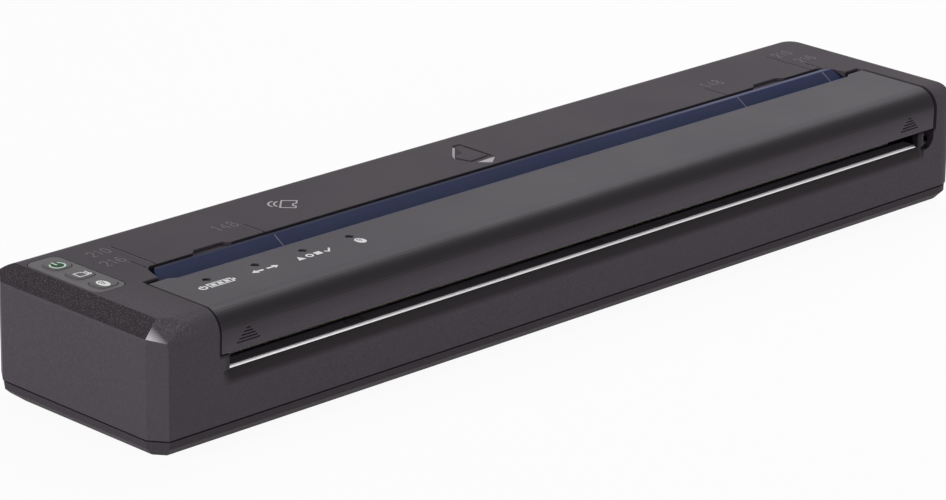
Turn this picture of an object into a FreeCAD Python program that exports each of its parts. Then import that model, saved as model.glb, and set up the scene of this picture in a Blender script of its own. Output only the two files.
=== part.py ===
"""Portable A4 thermal printer: a slim bar with a hinged release cover and a geared platen.

Frame: millimetres, +X along the bar, -Y the side where the paper comes out, +Z up.
The origin is the centre of the footprint, on the surface that the feet stand on.
"""
import FreeCAD, Part
import math
import os

V = FreeCAD.Vector

# Overall sizes; the width follows from the paper and the two ends
paper_width = 210.0
left_end_length = 17.4
right_end_length = 9.3
paper_to_cover_end = 9.15
depth = 55.0
height = 30.0
wall = 1.8
overrun = 2.0
part_gap = 0.3
running_gap = 0.05
press_gap = 0.01

# Outline of the bar
left_chamfer_x = 3.0
left_chamfer_y = 3.8
rear_chamfer_y = 4.3
corner_radius = 5.5
top_edge_radius = 3.5
front_edge_radius = 5.0
bevel_width = 5.1
bevel_drop = 2.7
facet_left_y = 4.2
facet_left_drop = 2.5
facet_front_x = 2.4
facet_front_y = 0.6
facet_front_drop = 3.4
facet_top_x = 4.4
facet_top_y = 5.6
facet_top_drop = 0.5

# Base tray
foot_height = 1.2
base_top = 4.75
seam_gap = 0.5
base_inset = 0.3
base_chamfer = 2.0
floor_thickness = 1.6
lip_height = 3.2
lip_thickness = 1.2
lip_gap = 0.1
ramp_start_from_rear = 9.1
ramp_rise = 1.7
ramp_run = 7.4
shelf_height = 1.1

# Paper and its path
paper_centre_offset = 0.15
paper_side_play = 0.5
exit_tilt = math.radians(12.0)

# Release cover, its opening and its hinge
cover_gap = 0.3
cover_drop = 9.4
cover_rear_reach = 2.5
cover_rear_gap = 2.0
cover_wall = 2.0
cover_end_wall = 1.8
hinge_setback = 20.5
hinge_drop = 3.2
hinge_pin_radius = 1.0
hinge_pin_length = 3.4
web_thickness = 1.8
web_drop = 12.0
detent_radius = 0.9
detent_rise = 0.2

# Grip marks on the front of the cover: bars left standing between cut grooves
grip_bars = 5
grip_bar_height = 0.34
grip_pitch = 0.68
grip_base_width = 6.4
grip_top_width = 1.2
grip_depth = 0.3
grip_low = 22.0
grip_inset_left = 7.3
grip_inset_right = 9.0

# Blue strip that leads the paper in; its face slopes down to the front
strip_front_reach = 1.5
strip_crest_reach = 8.9
strip_crest_rise = 0.3
strip_crest_width = 1.1
strip_slope = math.radians(31.0)
strip_floor = 0.5
strip_thickness = 2.6
strip_side_margin = 4.35
strip_end_length = 2.6
strip_end_taper = 1.8
strip_rear_taper = 1.2
strip_rear_cut = 1.4
strip_gap = 0.1
skirt_side_inset = 1.5
guide_radius = 9.8
skirt_thickness = 1.4
skirt_low_angle = math.radians(-20.0)
flange_thickness = 1.8
flange_rear_inset = 1.0
flange_front_overlap = 2.0

# Slot between the strip and the rear top
slot_clear = 2.1
slot_end_step = 1.4
slot_end_length = 2.8
slot_end_taper = 1.2
finger_recess_depth = 1.4
finger_recess_width = 11.0
finger_recess_inset = 15.0
finger_recess_drop = 0.8

# Inner guide on the cover and feed guide in the base, both round the hinge
inner_guide_start = math.radians(-21.0)
inner_guide_end = math.radians(-98.0)
feed_gap = 1.1
feed_wall = 1.5
feed_start = math.radians(5.0)
feed_end = math.radians(-84.0)
feed_rib_count = 5
guide_rib_thickness = 1.6
guide_rib_count = 7

# Front exit
exit_left_inset = 2.1
exit_right_inset = 5.5
exit_drop = 13.1
tab_width = 2.0
notch_step = 1.2
notch_radius = 3.0
scoop_height = 3.9
scoop_depth = 1.3
scoop_bow_depth = 0.2
scoop_bow_rise = 1.56
scoop_left_inset = 0.4
scoop_right_inset = 3.2
rail_depth = 1.6
rail_height = 3.6
tear_bar_thickness = 0.6
tear_bar_front_inset = 0.5
tear_bar_depth = 3.8
tear_bar_bevel = 0.4
exit_guide_back = 4.2
exit_guide_wall = 1.2
exit_guide_drop = 0.35
exit_guide_length = 3.7

# Platen roller
platen_setback = 13.5
platen_drop = 9.5
platen_radius = 5.0
platen_shaft_radius = 2.0
platen_shaft_overhang = 0.5
platen_edge_chamfer = 0.4
bush_radius = 3.2
bush_flange_radius = 3.7
bush_flange = 0.6
bush_sides = 8
bracket_thickness = 2.0
bracket_radius = 4.3
bracket_half_width = 4.0
bracket_inset = 1.0

# Gear train; every wheel turns about an axis along X. The tooth size follows the smaller of the
# rooms below and behind the roller, each measured in tooth sizes.
floor_room_teeth_share = 35.4
rear_room_teeth_share = 83.0
pressure_angle = math.radians(20.0)
addendum_share = 0.8
dedendum_share = 1.25
backlash = 0.1
platen_teeth = 24
idler_teeth = 24
small_teeth = 16
big_teeth = 30
pinion_teeth = 12
gear_face = 3.1
gear_wall_gap = 0.2
gear_frame_gap = 0.8
big_face = 2.4
big_side_gap = 1.7
hub_extra = 0.1
post_radius = 1.5
post_head = 0.6
post_head_radius = 2.3
post_head_sides = 6
reduction_angle = math.radians(2.3)
pinion_angle = math.radians(12.0)

# Side frames
frame_thickness = 1.2
frame_gap = 0.1
frame_front_inset = 1.0
frame_rear_inset = 3.3
frame_right_reach = 10.5
frame_top_drop = 5.6
frame_front_drop = 7.1
frame_step_reach = 5.0
frame_step_drop = 4.0
frame_guide_gap = 0.3
frame_foot = 5.0

# Motor
motor_rear_gap = 0.1
motor_floor_gap = 1.3
motor_guide_gap = 2.3
motor_length = 15.0
motor_flange = 0.8
motor_ear_margin = 1.4
motor_ear_radius = 1.7
motor_ear_angle = math.radians(132.0)
motor_boss_share = 0.3
motor_shaft_radius = 1.0
motor_bore_depth = 5.0
motor_screw_radius = 0.8
motor_screw_head = 0.6
motor_screw_head_radius = 1.5

# Print head and heat sink, tilted with the paper path
head_gap = 0.1
head_thickness = 1.0
head_front = 3.4
head_rear = 4.6
driver_cover_length = 3.4
driver_cover_rise = 0.7
sink_thickness = 2.4
sink_front = 3.0
sink_pivot_back = 12.6
sink_pivot_drop_share = 0.283
sink_barrel_share = 0.173
sink_fin_count = 3
sink_fin_thickness = 1.2
sink_fin_share = 0.315
sink_fin_pitch = 3.2
pivot_pin_radius = 1.0
pivot_pin_reach = 4.0

# Leaf springs that press the head up
spring_count = 3
spring_width = 9.0
spring_thickness = 0.3
spring_pitch_share = 0.4
spring_foot = 6.0
spring_setback = 10.0
spring_rise_run = 7.0
spring_top_gap = 0.05
spring_tip_back = 1.5

# Button panel and its three buttons
panel_side_inset = 5.5
panel_width = 9.0
panel_rear_inset = 4.8
panel_length = 24.7
panel_corner = 2.5
panel_thickness = 1.0
panel_gap = 0.2
button_side_inset = 5.0
button_first_inset = 4.0
button_count = 3
button_pitch = 7.55
button_length_x = 5.4
button_length_y = 5.0
button_corner = 1.6
button_gap = 0.12
button_rise = 0.25
button_travel = 0.3
button_flange = 0.6
button_flange_rim = 0.5
switch_side = 3.6
switch_height = 1.1
plunger_height = 0.3
plunger_side = 1.5
button_board_thickness = 1.0
board_margin = 0.5
board_pillar_side = 1.3

# Light pipes of the four indicators
led_first_inset = 10.7
led_pitch = 13.63
led_count = 4
led_hinge_gap = 3.5
led_radius = 1.0
led_sides = 16
led_recess = 0.3
led_board_thickness = 0.8
led_board_drop = 1.0
led_board_margin = 2.2
led_board_half = 1.7
led_peg_side = 1.2

# Lines and marks pressed into the rear top
groove_width = 0.4
groove_depth = 0.25
line_front_overlap = 0.2
a4_line_rear_inset = 8.3
letter_side_extra = 3.0
letter_line_length = 5.2
a5_line_length = 7.4
centre_mark_setback = 4.1
centre_mark_rear_inset = 7.4
centre_mark_width = 8.8
centre_mark_shares = ((0.78, 1.0), (1.0, 0.96), (0.98, 0.04), (0.16, 0.0), (0.0, 0.4))
centre_mark_inner_share = 0.8

# Battery pack of two round cells, end to end
battery_rear_gap = 0.3
battery_front_gap = 0.1
battery_floor_gap = 1.6
battery_top_gap = 4.2
battery_side_inset = 23.5
cradle_count = 3
cradle_thickness = 1.6
cradle_height = 4.0
cradle_width_share = 0.8
cradle_inset = 16.0

# Main board, its connectors and the charging port
board_motor_gap = 4.0
board_length = 46.0
board_battery_gap = 8.0
board_front_gap = 0.6
board_rear_gap = 0.3
board_thickness = 1.2
board_rise = 4.2
board_post_side = 3.4
board_post_inset = 3.0
connector_count = 3
connector_length = 8.0
connector_depth = 3.6
connector_height = 4.2
connector_pitch = 13.0
connector_inset = 9.0
connector_back = 0.4
port_width = 9.0
port_height = 3.2
port_depth = 7.4
port_shell = 0.3
port_gap = 0.1
port_recess = 0.5
port_tongue_width = 6.6
port_tongue = 0.7
port_tongue_depth = 5.4
port_throat = 0.6

# Paper sensor in the feed guide
sensor_offset = 17.8
sensor_angle = math.radians(-30.0)
sensor_width = 5.0
sensor_depth = 3.0
sensor_height = 4.0

# Screws, bosses and feet
boss_radius = 2.6
boss_left_inset = 6.5
boss_left_rear_inset = 17.0
boss_right_inset = 6.2
boss_right_rear_inset = 7.9
boss_front_inset = 7.3
boss_rear_inset = 5.9
screw_radius = 1.0
screw_length = 7.0
screw_head_radius = 1.9
screw_head_height = 0.9
screw_recess_gap = 0.1
screw_sides = 12
foot_length = 16.0
foot_width = 7.0
foot_corner = 2.4
foot_side_inset = 23.5
foot_depth_inset = 12.9

# Values worked out from the sizes above
cover_length = paper_width + 2 * paper_to_cover_end
width = left_end_length + cover_length + right_end_length
half_width = width / 2
half_depth = depth / 2
housing_low = base_top + seam_gap
floor_top = foot_height + floor_thickness
skin_low = height - wall
cover_skin_low = height - cover_wall
lip_inset = wall + lip_gap
inner_rear = half_depth - lip_inset - lip_thickness
shelf_y = half_depth - ramp_start_from_rear
shelf_top = floor_top + shelf_height

# The cover, its hinge and the slot behind it
cover_left = -half_width + left_end_length
cover_right = cover_left + cover_length
cover_low = height - cover_drop
hinge_y = -half_depth + hinge_setback
hinge_z = height - hinge_drop
hinge = (hinge_y, hinge_z)
cover_rear = hinge_y + cover_rear_reach
web_low = height - web_drop
strip_front = hinge_y + strip_front_reach
strip_crest_y = hinge_y + strip_crest_reach
flange_rear = strip_crest_y - flange_rear_inset
slot_edge_y = strip_crest_y + slot_clear
slot_end_y = slot_edge_y - slot_end_step
guide_outer = guide_radius + feed_gap + feed_wall

# The paper's width across the bar
paper_centre_x = (cover_left + cover_right) / 2 + paper_centre_offset
paper_half = paper_width / 2 + paper_side_play
head_centre_x = paper_centre_x + paper_side_play
strip_centre_x = paper_centre_x
strip_half_length = cover_length / 2 - strip_side_margin
strip_skirt_half = strip_half_length - skirt_side_inset
inner_guide_half = paper_half - lip_gap
sensor_x = paper_centre_x + sensor_offset
rubber_left = paper_centre_x - paper_half
rubber_right = paper_centre_x + paper_half
left_bracket = (rubber_left - bracket_inset - bracket_thickness, rubber_left - bracket_inset)
right_bracket = (rubber_right + bracket_inset, rubber_right + bracket_inset + bracket_thickness)

# The exit in the front
exit_left = cover_left + exit_left_inset
exit_right = cover_right - exit_right_inset
exit_low = height - exit_drop
notch_low = exit_low - notch_step
scoop_low = exit_low - scoop_height
scoop_left = cover_left + scoop_left_inset
scoop_right = cover_right - scoop_right_inset

# The roller and the line where the head meets it
platen_y = -half_depth + platen_setback
platen_z = height - platen_drop
platen = (platen_y, platen_z)
normal = (math.sin(exit_tilt), math.cos(exit_tilt))
along = (-math.cos(exit_tilt), math.sin(exit_tilt))
nip_reach = platen_radius + head_gap
nip_y = platen_y - nip_reach * normal[0]
nip_z = platen_z - nip_reach * normal[1]
room_under_nip = nip_z - floor_top
sink_pivot_drop = room_under_nip * sink_pivot_drop_share
sink_barrel_radius = room_under_nip * sink_barrel_share
sink_fin_height = room_under_nip * sink_fin_share

# The gears and the side frames, from left to right
floor_module = (platen_z - floor_top) / floor_room_teeth_share
rear_module = (half_depth - platen_y) / rear_room_teeth_share
gear_module = min(floor_module, rear_module)
gear_left = cover_left + cover_end_wall + gear_wall_gap
gear_right = gear_left + gear_face
big_left = gear_left - big_side_gap - big_face
frame_left = (gear_right + gear_frame_gap, gear_right + gear_frame_gap + frame_thickness)
frame_right = (right_bracket[1] + frame_gap, right_bracket[1] + frame_gap + frame_thickness)
frame_front = platen_y + frame_front_inset
frame_rear = half_depth - frame_rear_inset
frame_right_rear = hinge_y + frame_right_reach
frame_top = height - frame_top_drop
frame_front_top = platen_z - frame_front_drop
frame_step_y = hinge_y + frame_step_reach
frame_step_z = platen_z - frame_step_drop
frame_hinge_clear = guide_radius + feed_gap + frame_guide_gap

# The buttons and the lamps
panel_left = -half_width + panel_side_inset
panel_right = panel_left + panel_width
panel_rear = half_depth - panel_rear_inset
panel_front = panel_rear - panel_length
button_x = panel_left + button_side_inset
button_first_y = panel_front + button_first_inset
led_first_x = cover_left + led_first_inset
led_y = hinge_y - led_hinge_gap

# The main board and the battery, behind the feed guide
board_left = frame_left[1] + motor_length + board_motor_gap
board_right = board_left + board_length
board_front = hinge_y + guide_outer + board_front_gap
board_rear = inner_rear - board_rear_gap
board_low = floor_top + board_rise
port_x = (board_left + board_right) / 2
battery_left = board_right + board_battery_gap
battery_right = half_width - battery_side_inset
battery_front = hinge_y + guide_outer + battery_front_gap
battery_depth_room = inner_rear - battery_rear_gap - battery_front
battery_height_room = skin_low - battery_top_gap - floor_top - battery_floor_gap
battery_radius = min(battery_depth_room, battery_height_room) / 2
battery_y = inner_rear - battery_rear_gap - battery_radius
battery_z = floor_top + battery_floor_gap + battery_radius


def on_tilt(forward, up):
    """Point of the tilted paper frame at the nip: forward along the exit, up from the plane."""
    y = nip_y + forward * along[0] + up * normal[0]
    z = nip_z + forward * along[1] + up * normal[1]
    return (y, z)


def polar(centre, radius, angle):
    """Point in the YZ plane at a radius and an angle from +Y towards +Z."""
    return (centre[0] + radius * math.cos(angle), centre[1] + radius * math.sin(angle))


def gear_place(centre, teeth_a, teeth_b, angle):
    """Centre of a wheel that meshes with another, in the given direction from it."""
    return polar(centre, gear_module * (teeth_a + teeth_b) / 2, angle)


idler_angle = math.atan2(platen_z - hinge_z, platen_y - hinge_y) + math.radians(90.0)
idler = gear_place(platen, platen_teeth, idler_teeth, idler_angle)
reduction = gear_place(idler, idler_teeth, small_teeth, reduction_angle)
pinion = gear_place(reduction, big_teeth, pinion_teeth, pinion_angle)
sink_pivot = on_tilt(-sink_pivot_back, -sink_pivot_drop)
motor_rooms = (inner_rear - motor_rear_gap - pinion[0], pinion[1] - floor_top - motor_floor_gap,
               math.dist(hinge, pinion) - guide_outer - motor_guide_gap)
motor_radius = min(motor_rooms)
motor_boss_radius = motor_radius * motor_boss_share


def block(xs, ys, zs):
    """Box between three pairs of limits."""
    size = (xs[1] - xs[0], ys[1] - ys[0], zs[1] - zs[0])
    return Part.makeBox(size[0], size[1], size[2], V(xs[0], ys[0], zs[0]))


def prism_x(points, xs):
    """Polygon in YZ carried along X."""
    corners = [V(xs[0], y, z) for y, z in points]
    face = Part.Face(Part.makePolygon(corners + corners[:1]))
    return face.extrude(V(xs[1] - xs[0], 0, 0))


def prism_y(points, ys):
    """Polygon in XZ carried along Y."""
    corners = [V(x, ys[0], z) for x, z in points]
    face = Part.Face(Part.makePolygon(corners + corners[:1]))
    return face.extrude(V(0, ys[1] - ys[0], 0))


def prism_z(points, zs):
    """Polygon in XY carried along Z."""
    corners = [V(x, y, zs[0]) for x, y in points]
    face = Part.Face(Part.makePolygon(corners + corners[:1]))
    return face.extrude(V(0, 0, zs[1] - zs[0]))


def rod_x(centre, radius, xs):
    """Round bar along X with its centre given in YZ."""
    start = V(xs[0], centre[0], centre[1])
    return Part.makeCylinder(radius, xs[1] - xs[0], start, V(1, 0, 0))


def sector_x(centre, radii, angles, xs):
    """Curved wall between two radii and two angles, carried along X."""
    middle = (angles[0] + angles[1]) / 2
    rims = []
    for radius in radii:
        ends = [V(xs[0], *polar(centre, radius, a)) for a in (angles[0], middle, angles[1])]
        rims.append((ends, Part.Arc(*ends).toShape()))
    start = Part.makeLine(rims[0][0][0], rims[1][0][0])
    finish = Part.makeLine(rims[0][0][2], rims[1][0][2])
    wire = Part.Wire([rims[0][1], finish, rims[1][1], start])
    return Part.Face(wire).extrude(V(xs[1] - xs[0], 0, 0))


def ring_points(centre, radius, sides):
    """Corners of a regular polygon on a circle."""
    return [polar(centre, radius, 2 * math.pi * (i + 1 / 2) / sides) for i in range(sides)]


def sided_x(centre, radius, sides, xs):
    """Bar along X with flat sides; its corners lie on the radius."""
    return prism_x(ring_points(centre, radius, sides), xs)


def sided_z(centre, radii, sides, zs):
    """Bar or taper along Z with flat sides; its corners lie on the low and the high radius."""
    rings = []
    for radius, z in zip(radii, zs):
        corners = [V(x, y, z) for x, y in ring_points(centre, radius, sides)]
        rings.append(Part.makePolygon(corners + corners[:1]))
    return Part.makeLoft(rings, True, True)


def upright_edges(solid):
    """Edges of a plate that stand upright."""
    return [e for e in solid.Edges if e.Vertexes[0].Z != e.Vertexes[1].Z]


def rounded_plate(xs, ys, zs, radius):
    """Plate with its four upright corners rounded."""
    plate = block(xs, ys, zs)
    return plate.makeFillet(radius, upright_edges(plate))


def square_peg(place, side, zs):
    """Square post with its centre given in XY."""
    half = side / 2
    return block((place[0] - half, place[0] + half), (place[1] - half, place[1] + half), zs)


def fuse(shapes):
    """One solid of several that touch."""
    if len(shapes) == 1:
        return shapes[0]
    return shapes[0].fuse(shapes[1:])


def cut(shape, tools):
    """The shape less each tool."""
    for tool in tools:
        shape = shape.cut(tool)
    return shape


def plan_outline(inset):
    """Corners of the bar seen from above: chamfers at the left, square at the right."""
    x0 = -half_width + inset
    x1 = half_width - inset
    y0 = -half_depth + inset
    y1 = half_depth - inset
    front = [(x0 + left_chamfer_x, y0), (x1, y0), (x1, y1)]
    rear = [(x0 + left_chamfer_x, y1), (x0, y1 - rear_chamfer_y), (x0, y0 + left_chamfer_y)]
    return front + rear


def soften(solid, size, edges, rounded):
    """Round the outer edges; inner edges get a chamfer of the same size."""
    if rounded:
        return solid.makeFillet(size, edges)
    return solid.makeChamfer(size, edges)


def plan_prism(inset, zs, rounded=False):
    """The bar's plan carried upwards, with its two right corners rounded or chamfered."""
    solid = prism_z(plan_outline(inset), zs)
    right = half_width - inset
    uprights = []
    for edge in solid.Edges:
        ends = edge.Vertexes
        if abs(ends[0].X - right) < press_gap and abs(ends[1].X - right) < press_gap:
            if abs(ends[0].Z - ends[1].Z) > press_gap:
                uprights.append(edge)
    return soften(solid, corner_radius - inset, uprights, rounded)


def corner_facet():
    """What lies above the slanting facet at the front left corner."""
    left = V(-half_width, -half_depth + facet_left_y, height - facet_left_drop)
    front = V(-half_width + facet_front_x, -half_depth + facet_front_y, height - facet_front_drop)
    top = V(-half_width + facet_top_x, -half_depth + facet_top_y, height - facet_top_drop)
    upward = (front - left).cross(top - left).normalize()
    centre = (left + front + top) / 3
    slab = Part.makeBox(depth, depth, depth, V(-half_depth, -half_depth, 0))
    slab.Placement = FreeCAD.Placement(centre, FreeCAD.Rotation(V(0, 0, 1), upward))
    return slab


def envelope(inset, low):
    """Outer form of the bar, or the same form drawn in by an inset."""
    rounded = inset == 0
    top = height - inset
    solid = plan_prism(inset, (low, top), rounded)
    left = -half_width + inset
    edges = []
    for edge in solid.Edges:
        box = edge.BoundBox
        at_top = box.ZMin > top - press_gap
        on_front = box.YMax < -half_depth + inset + press_gap
        on_left = box.XMax < left + left_chamfer_x + press_gap
        if at_top and not on_front and not on_left:
            edges.append(edge)
    solid = soften(solid, top_edge_radius - inset, edges, rounded)
    front = block((left, half_width), (-half_depth + inset, half_depth), (low, top))
    ridge = []
    for edge in front.Edges:
        box = edge.BoundBox
        if box.ZMin > top - press_gap and box.YMax < -half_depth + inset + press_gap:
            ridge.append(edge)
    front = soften(front, front_edge_radius - inset, ridge, rounded)
    bevel = [(left - overrun, top + overrun), (left - overrun, top - bevel_drop),
             (left, top - bevel_drop), (left + bevel_width, top), (left + bevel_width, top + overrun)]
    solid = solid.common(front).cut(prism_y(bevel, (-depth, depth)))
    if rounded:
        solid = solid.cut(corner_facet())
    return solid


def screw_places():
    """The four case screws, seen from above."""
    front = -half_depth + boss_front_inset
    rear = half_depth - boss_rear_inset
    return [(-half_width + boss_left_inset, front), (half_width - boss_right_inset, front),
            (-half_width + boss_left_rear_inset, rear), (half_width - boss_right_rear_inset, rear)]


def boss_low(place):
    """Height of the tray's floor where a housing boss stands on it."""
    return shelf_top if place[1] > shelf_y else floor_top


def rib_places(count, xs, thickness):
    """Start of each of several equal ribs spread between two limits."""
    pitch = (xs[1] - xs[0] - thickness) / (count - 1)
    return [xs[0] + pitch * i for i in range(count)]


def screw_seat(place):
    """Height under the tray's inner floor up to which a screw's countersunk head reaches."""
    return boss_low(place) - floor_thickness / 2


def screw_head(place, grow):
    """Countersunk head of a case screw, or its recess grown all round down to the tray's underside."""
    seat = screw_seat(place)
    low = seat - screw_head_height
    radii = (screw_head_radius + grow, screw_radius + grow)
    cone = sided_z(place, radii, screw_sides, (low, seat))
    if grow == 0:
        return cone
    return fuse([cone, sided_z(place, (radii[0], radii[0]), screw_sides, (0, low))])


def screw_bore(place, zs):
    """Bore that a case screw fills."""
    radius = screw_radius + press_gap
    return sided_z(place, (radius, radius), screw_sides, zs)


def make_base_case():
    """Tray with a chamfered lower edge, an inner lip, screw holes and battery cradles."""
    body = plan_prism(base_inset, (foot_height, base_top), True)
    low_edges = [e for e in body.Edges if e.BoundBox.ZMax < foot_height + press_gap]
    body = body.makeChamfer(base_chamfer, low_edges)
    ramp = [(shelf_y, foot_height), (shelf_y + ramp_run, foot_height + ramp_rise),
            (half_depth + overrun, foot_height + ramp_rise), (half_depth + overrun, 0), (shelf_y, 0)]
    body = body.cut(prism_x(ramp, (-width, width)))
    hollow = plan_prism(base_inset + wall, (floor_top, base_top + overrun))
    shelf = block((-width, width), (shelf_y, half_depth), (0, shelf_top))
    body = body.cut(hollow.cut(shelf))
    lip = plan_prism(lip_inset, (floor_top, base_top + lip_height))
    body = fuse([body, lip.cut(plan_prism(lip_inset + lip_thickness, (0, height)))])
    cradles = []
    span = (battery_left + cradle_inset, battery_right - cradle_inset)
    half = battery_radius * cradle_width_share
    for x in rib_places(cradle_count, span, cradle_thickness):
        ys = (battery_y - half, battery_y + half)
        zs = (floor_top - press_gap, floor_top + cradle_height)
        cradles.append(block((x, x + cradle_thickness), ys, zs))
    body = fuse([body] + cradles)
    cell = rod_x((battery_y, battery_z), battery_radius, (battery_left, battery_right))
    body = body.cut(cell)
    posts = []
    for x in (board_left + board_post_inset, board_right - board_post_inset):
        for y in (board_front + board_post_inset, board_rear - board_post_inset):
            posts.append(square_peg((x, y), board_post_side, (floor_top - press_gap, board_low)))
    body = fuse([body] + posts)
    holes = []
    for p in screw_places():
        holes.append(screw_bore(p, (0, shelf_top + overrun)))
        holes.append(screw_head(p, screw_recess_gap))
    return cut(body, holes)


def slot_outline():
    """Edge of the opening: the cover's place and the paper slot with its shorter ends."""
    rear_end = cover_rear + cover_rear_gap
    mid = strip_centre_x
    left_end = mid - strip_half_length
    right_end = mid + strip_half_length
    points = [(cover_left - cover_gap, rear_end), (left_end - cover_gap, rear_end),
              (left_end + slot_end_taper, slot_end_y), (left_end + slot_end_length, slot_edge_y)]
    points += [(right_end - slot_end_length, slot_edge_y), (right_end - slot_end_taper, slot_end_y),
               (right_end + cover_gap, rear_end), (cover_right + cover_gap, rear_end)]
    front = -half_depth - overrun
    return points + [(cover_right + cover_gap, front), (cover_left - cover_gap, front)]


def finger_recesses():
    """Two shallow recesses in the slot's rear edge."""
    left = strip_centre_x - strip_half_length + finger_recess_inset
    right = strip_centre_x + strip_half_length - finger_recess_inset - finger_recess_width
    front = slot_edge_y - overrun
    rear = slot_edge_y + finger_recess_depth
    tools = []
    for start in (left, right):
        end = start + finger_recess_width
        points = [(start, front), (start, slot_edge_y), (start + finger_recess_depth, rear),
                  (end - finger_recess_depth, rear), (end, slot_edge_y), (end, front)]
        tools.append(prism_z(points, (height - finger_recess_drop, height + overrun)))
    return tools


def make_main_housing():
    """Shell with the cover's opening, the paper slot, the exit, the scoop and the panel's pocket."""
    body = envelope(0, housing_low)
    cavity = envelope(wall, housing_low - overrun)
    body = body.cut(cavity)
    rail_ys = (-half_depth + wall / 2, -half_depth + wall + rail_depth)
    rail = block((cover_left - web_thickness, cover_right), rail_ys, (exit_low - rail_height, exit_low))
    bosses = []
    for p in screw_places():
        bosses.append(sided_z(p, (boss_radius, boss_radius), screw_sides, (boss_low(p), skin_low + wall / 2)))
    body = fuse([body, rail] + bosses)
    opening = prism_z(slot_outline(), (cover_low - part_gap, height + overrun))
    body = body.cut(opening)
    body = fuse([body] + make_housing_webs())
    body = cut(body, exit_cutters())
    return cut(body, top_cutters())


def make_housing_webs():
    """Inner walls beside the cover that hold the hinge pins."""
    rear = cover_rear + cover_rear_gap
    webs = []
    for x, side in ((cover_left - cover_gap, -1), (cover_right + cover_gap, 1)):
        xs = tuple(sorted((x, x + side * web_thickness)))
        zone = block(xs, (-half_depth, rear), (web_low, height))
        zone = zone.common(envelope(wall / 2, web_low - overrun))
        zone = zone.cut(rod_x(hinge, hinge_pin_radius + press_gap, (-width, width)))
        webs.append(zone)
    return webs


def exit_cutters():
    """Paper exit, the finger notch at its right end and the scoop below the tear bar."""
    front = -half_depth - overrun
    back = -half_depth + wall + rail_depth + overrun
    mouth = block((exit_left, exit_right), (front, back), (exit_low, cover_low))
    notch_left = exit_right + tab_width
    notch_right = cover_right + cover_gap
    notch = block((notch_left, notch_right), (front, -half_depth + wall + press_gap), (notch_low, cover_low))
    corner = []
    for edge in notch.Edges:
        box = edge.BoundBox
        if box.XMin > notch_right - press_gap and box.ZMax < notch_low + press_gap:
            corner.append(edge)
    notch = notch.makeFillet(notch_radius, corner)
    bow = (-half_depth + scoop_bow_depth, scoop_low + scoop_bow_rise)
    points = [(-half_depth, scoop_low), bow, (-half_depth + scoop_depth, exit_low)]
    curve = Part.Arc(*[V(scoop_left, y, z) for y, z in points]).toShape()
    top = Part.makeLine(V(scoop_left, *points[2]), V(scoop_left, front, exit_low))
    face = Part.makeLine(V(scoop_left, front, exit_low), V(scoop_left, front, scoop_low))
    low = Part.makeLine(V(scoop_left, front, scoop_low), V(scoop_left, *points[0]))
    scoop = Part.Face(Part.Wire([curve, top, face, low])).extrude(V(scoop_right - scoop_left, 0, 0))
    return [mouth, notch, scoop]


def button_places():
    """Centre of each button, seen from above."""
    return [(button_x, button_first_y + button_pitch * i) for i in range(button_count)]


def button_plate(grow, zs):
    """Rounded plates of the buttons' plan, grown all round, one per button."""
    plates = []
    for x, y in button_places():
        half_x = button_length_x / 2 + grow
        half_y = button_length_y / 2 + grow
        plates.append(rounded_plate((x - half_x, x + half_x), (y - half_y, y + half_y), zs, button_corner))
    return plates


def button_wells():
    """Square holes in the skin that the buttons pass through."""
    wells = []
    for x, y in button_places():
        half_x = button_length_x / 2 + button_gap
        half_y = button_length_y / 2 + button_gap
        wells.append(block((x - half_x, x + half_x), (y - half_y, y + half_y), (skin_low - overrun, height)))
    return wells


def top_cutters():
    """Panel pocket, button holes, screw bores, charging port and the marks on the rear top."""
    pocket = rounded_plate((panel_left, panel_right), (panel_front, panel_rear),
                           (height - panel_thickness, height + overrun), panel_corner)
    tools = [pocket] + button_wells()
    for p in screw_places():
        tools.append(screw_bore(p, (0, housing_low + screw_length)))
    port_z = board_low + board_thickness + port_height / 2
    tools.append(stadium_y(port_x, port_z, port_width + 2 * port_gap, port_height + 2 * port_gap,
                           (half_depth - wall - overrun, half_depth + overrun)))
    return tools + finger_recesses() + width_marks() + [centre_mark()]


def width_marks():
    """Lines pressed into the rear top for the A4, Letter and A5 paper widths."""
    start = slot_edge_y - line_front_overlap
    a4_half = paper_width / 2
    marks = [(a4_half, half_depth - a4_line_rear_inset),
             (a4_half + letter_side_extra, start + letter_line_length),
             (a4_half / math.sqrt(2), start + a5_line_length)]
    lines = []
    for half, end in marks:
        for x in (paper_centre_x - half, paper_centre_x + half):
            lines.append(block((x - groove_width / 2, x + groove_width / 2), (start, end),
                               (height - groove_depth, height + overrun)))
    return lines


def centre_mark():
    """Outline of a slanting pointer pressed into the top, at the bar's middle."""
    base = slot_edge_y + centre_mark_setback
    length = half_depth - centre_mark_rear_inset - base
    points = [((share_x - 1 / 2) * centre_mark_width, base + share_y * length)
              for share_x, share_y in centre_mark_shares]
    middle = (sum(x for x, y in points) / len(points), sum(y for x, y in points) / len(points))
    inner = [(middle[0] + (x - middle[0]) * centre_mark_inner_share,
              middle[1] + (y - middle[1]) * centre_mark_inner_share) for x, y in points]
    zs = (height - groove_depth, height + overrun)
    return prism_z(points, zs).cut(prism_z(inner, zs))


def stadium_y(x, z, full_width, full_height, ys):
    """Slot with round ends, carried along Y."""
    half_flat = (full_width - full_height) / 2
    radius = full_height / 2
    middle = block((x - half_flat, x + half_flat), ys, (z - radius, z + radius))
    ends = []
    for side in (-1, 1):
        start = V(x + side * half_flat, ys[0], z)
        ends.append(Part.makeCylinder(radius, ys[1] - ys[0], start, V(0, 1, 0)))
    return fuse([middle] + ends)


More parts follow.
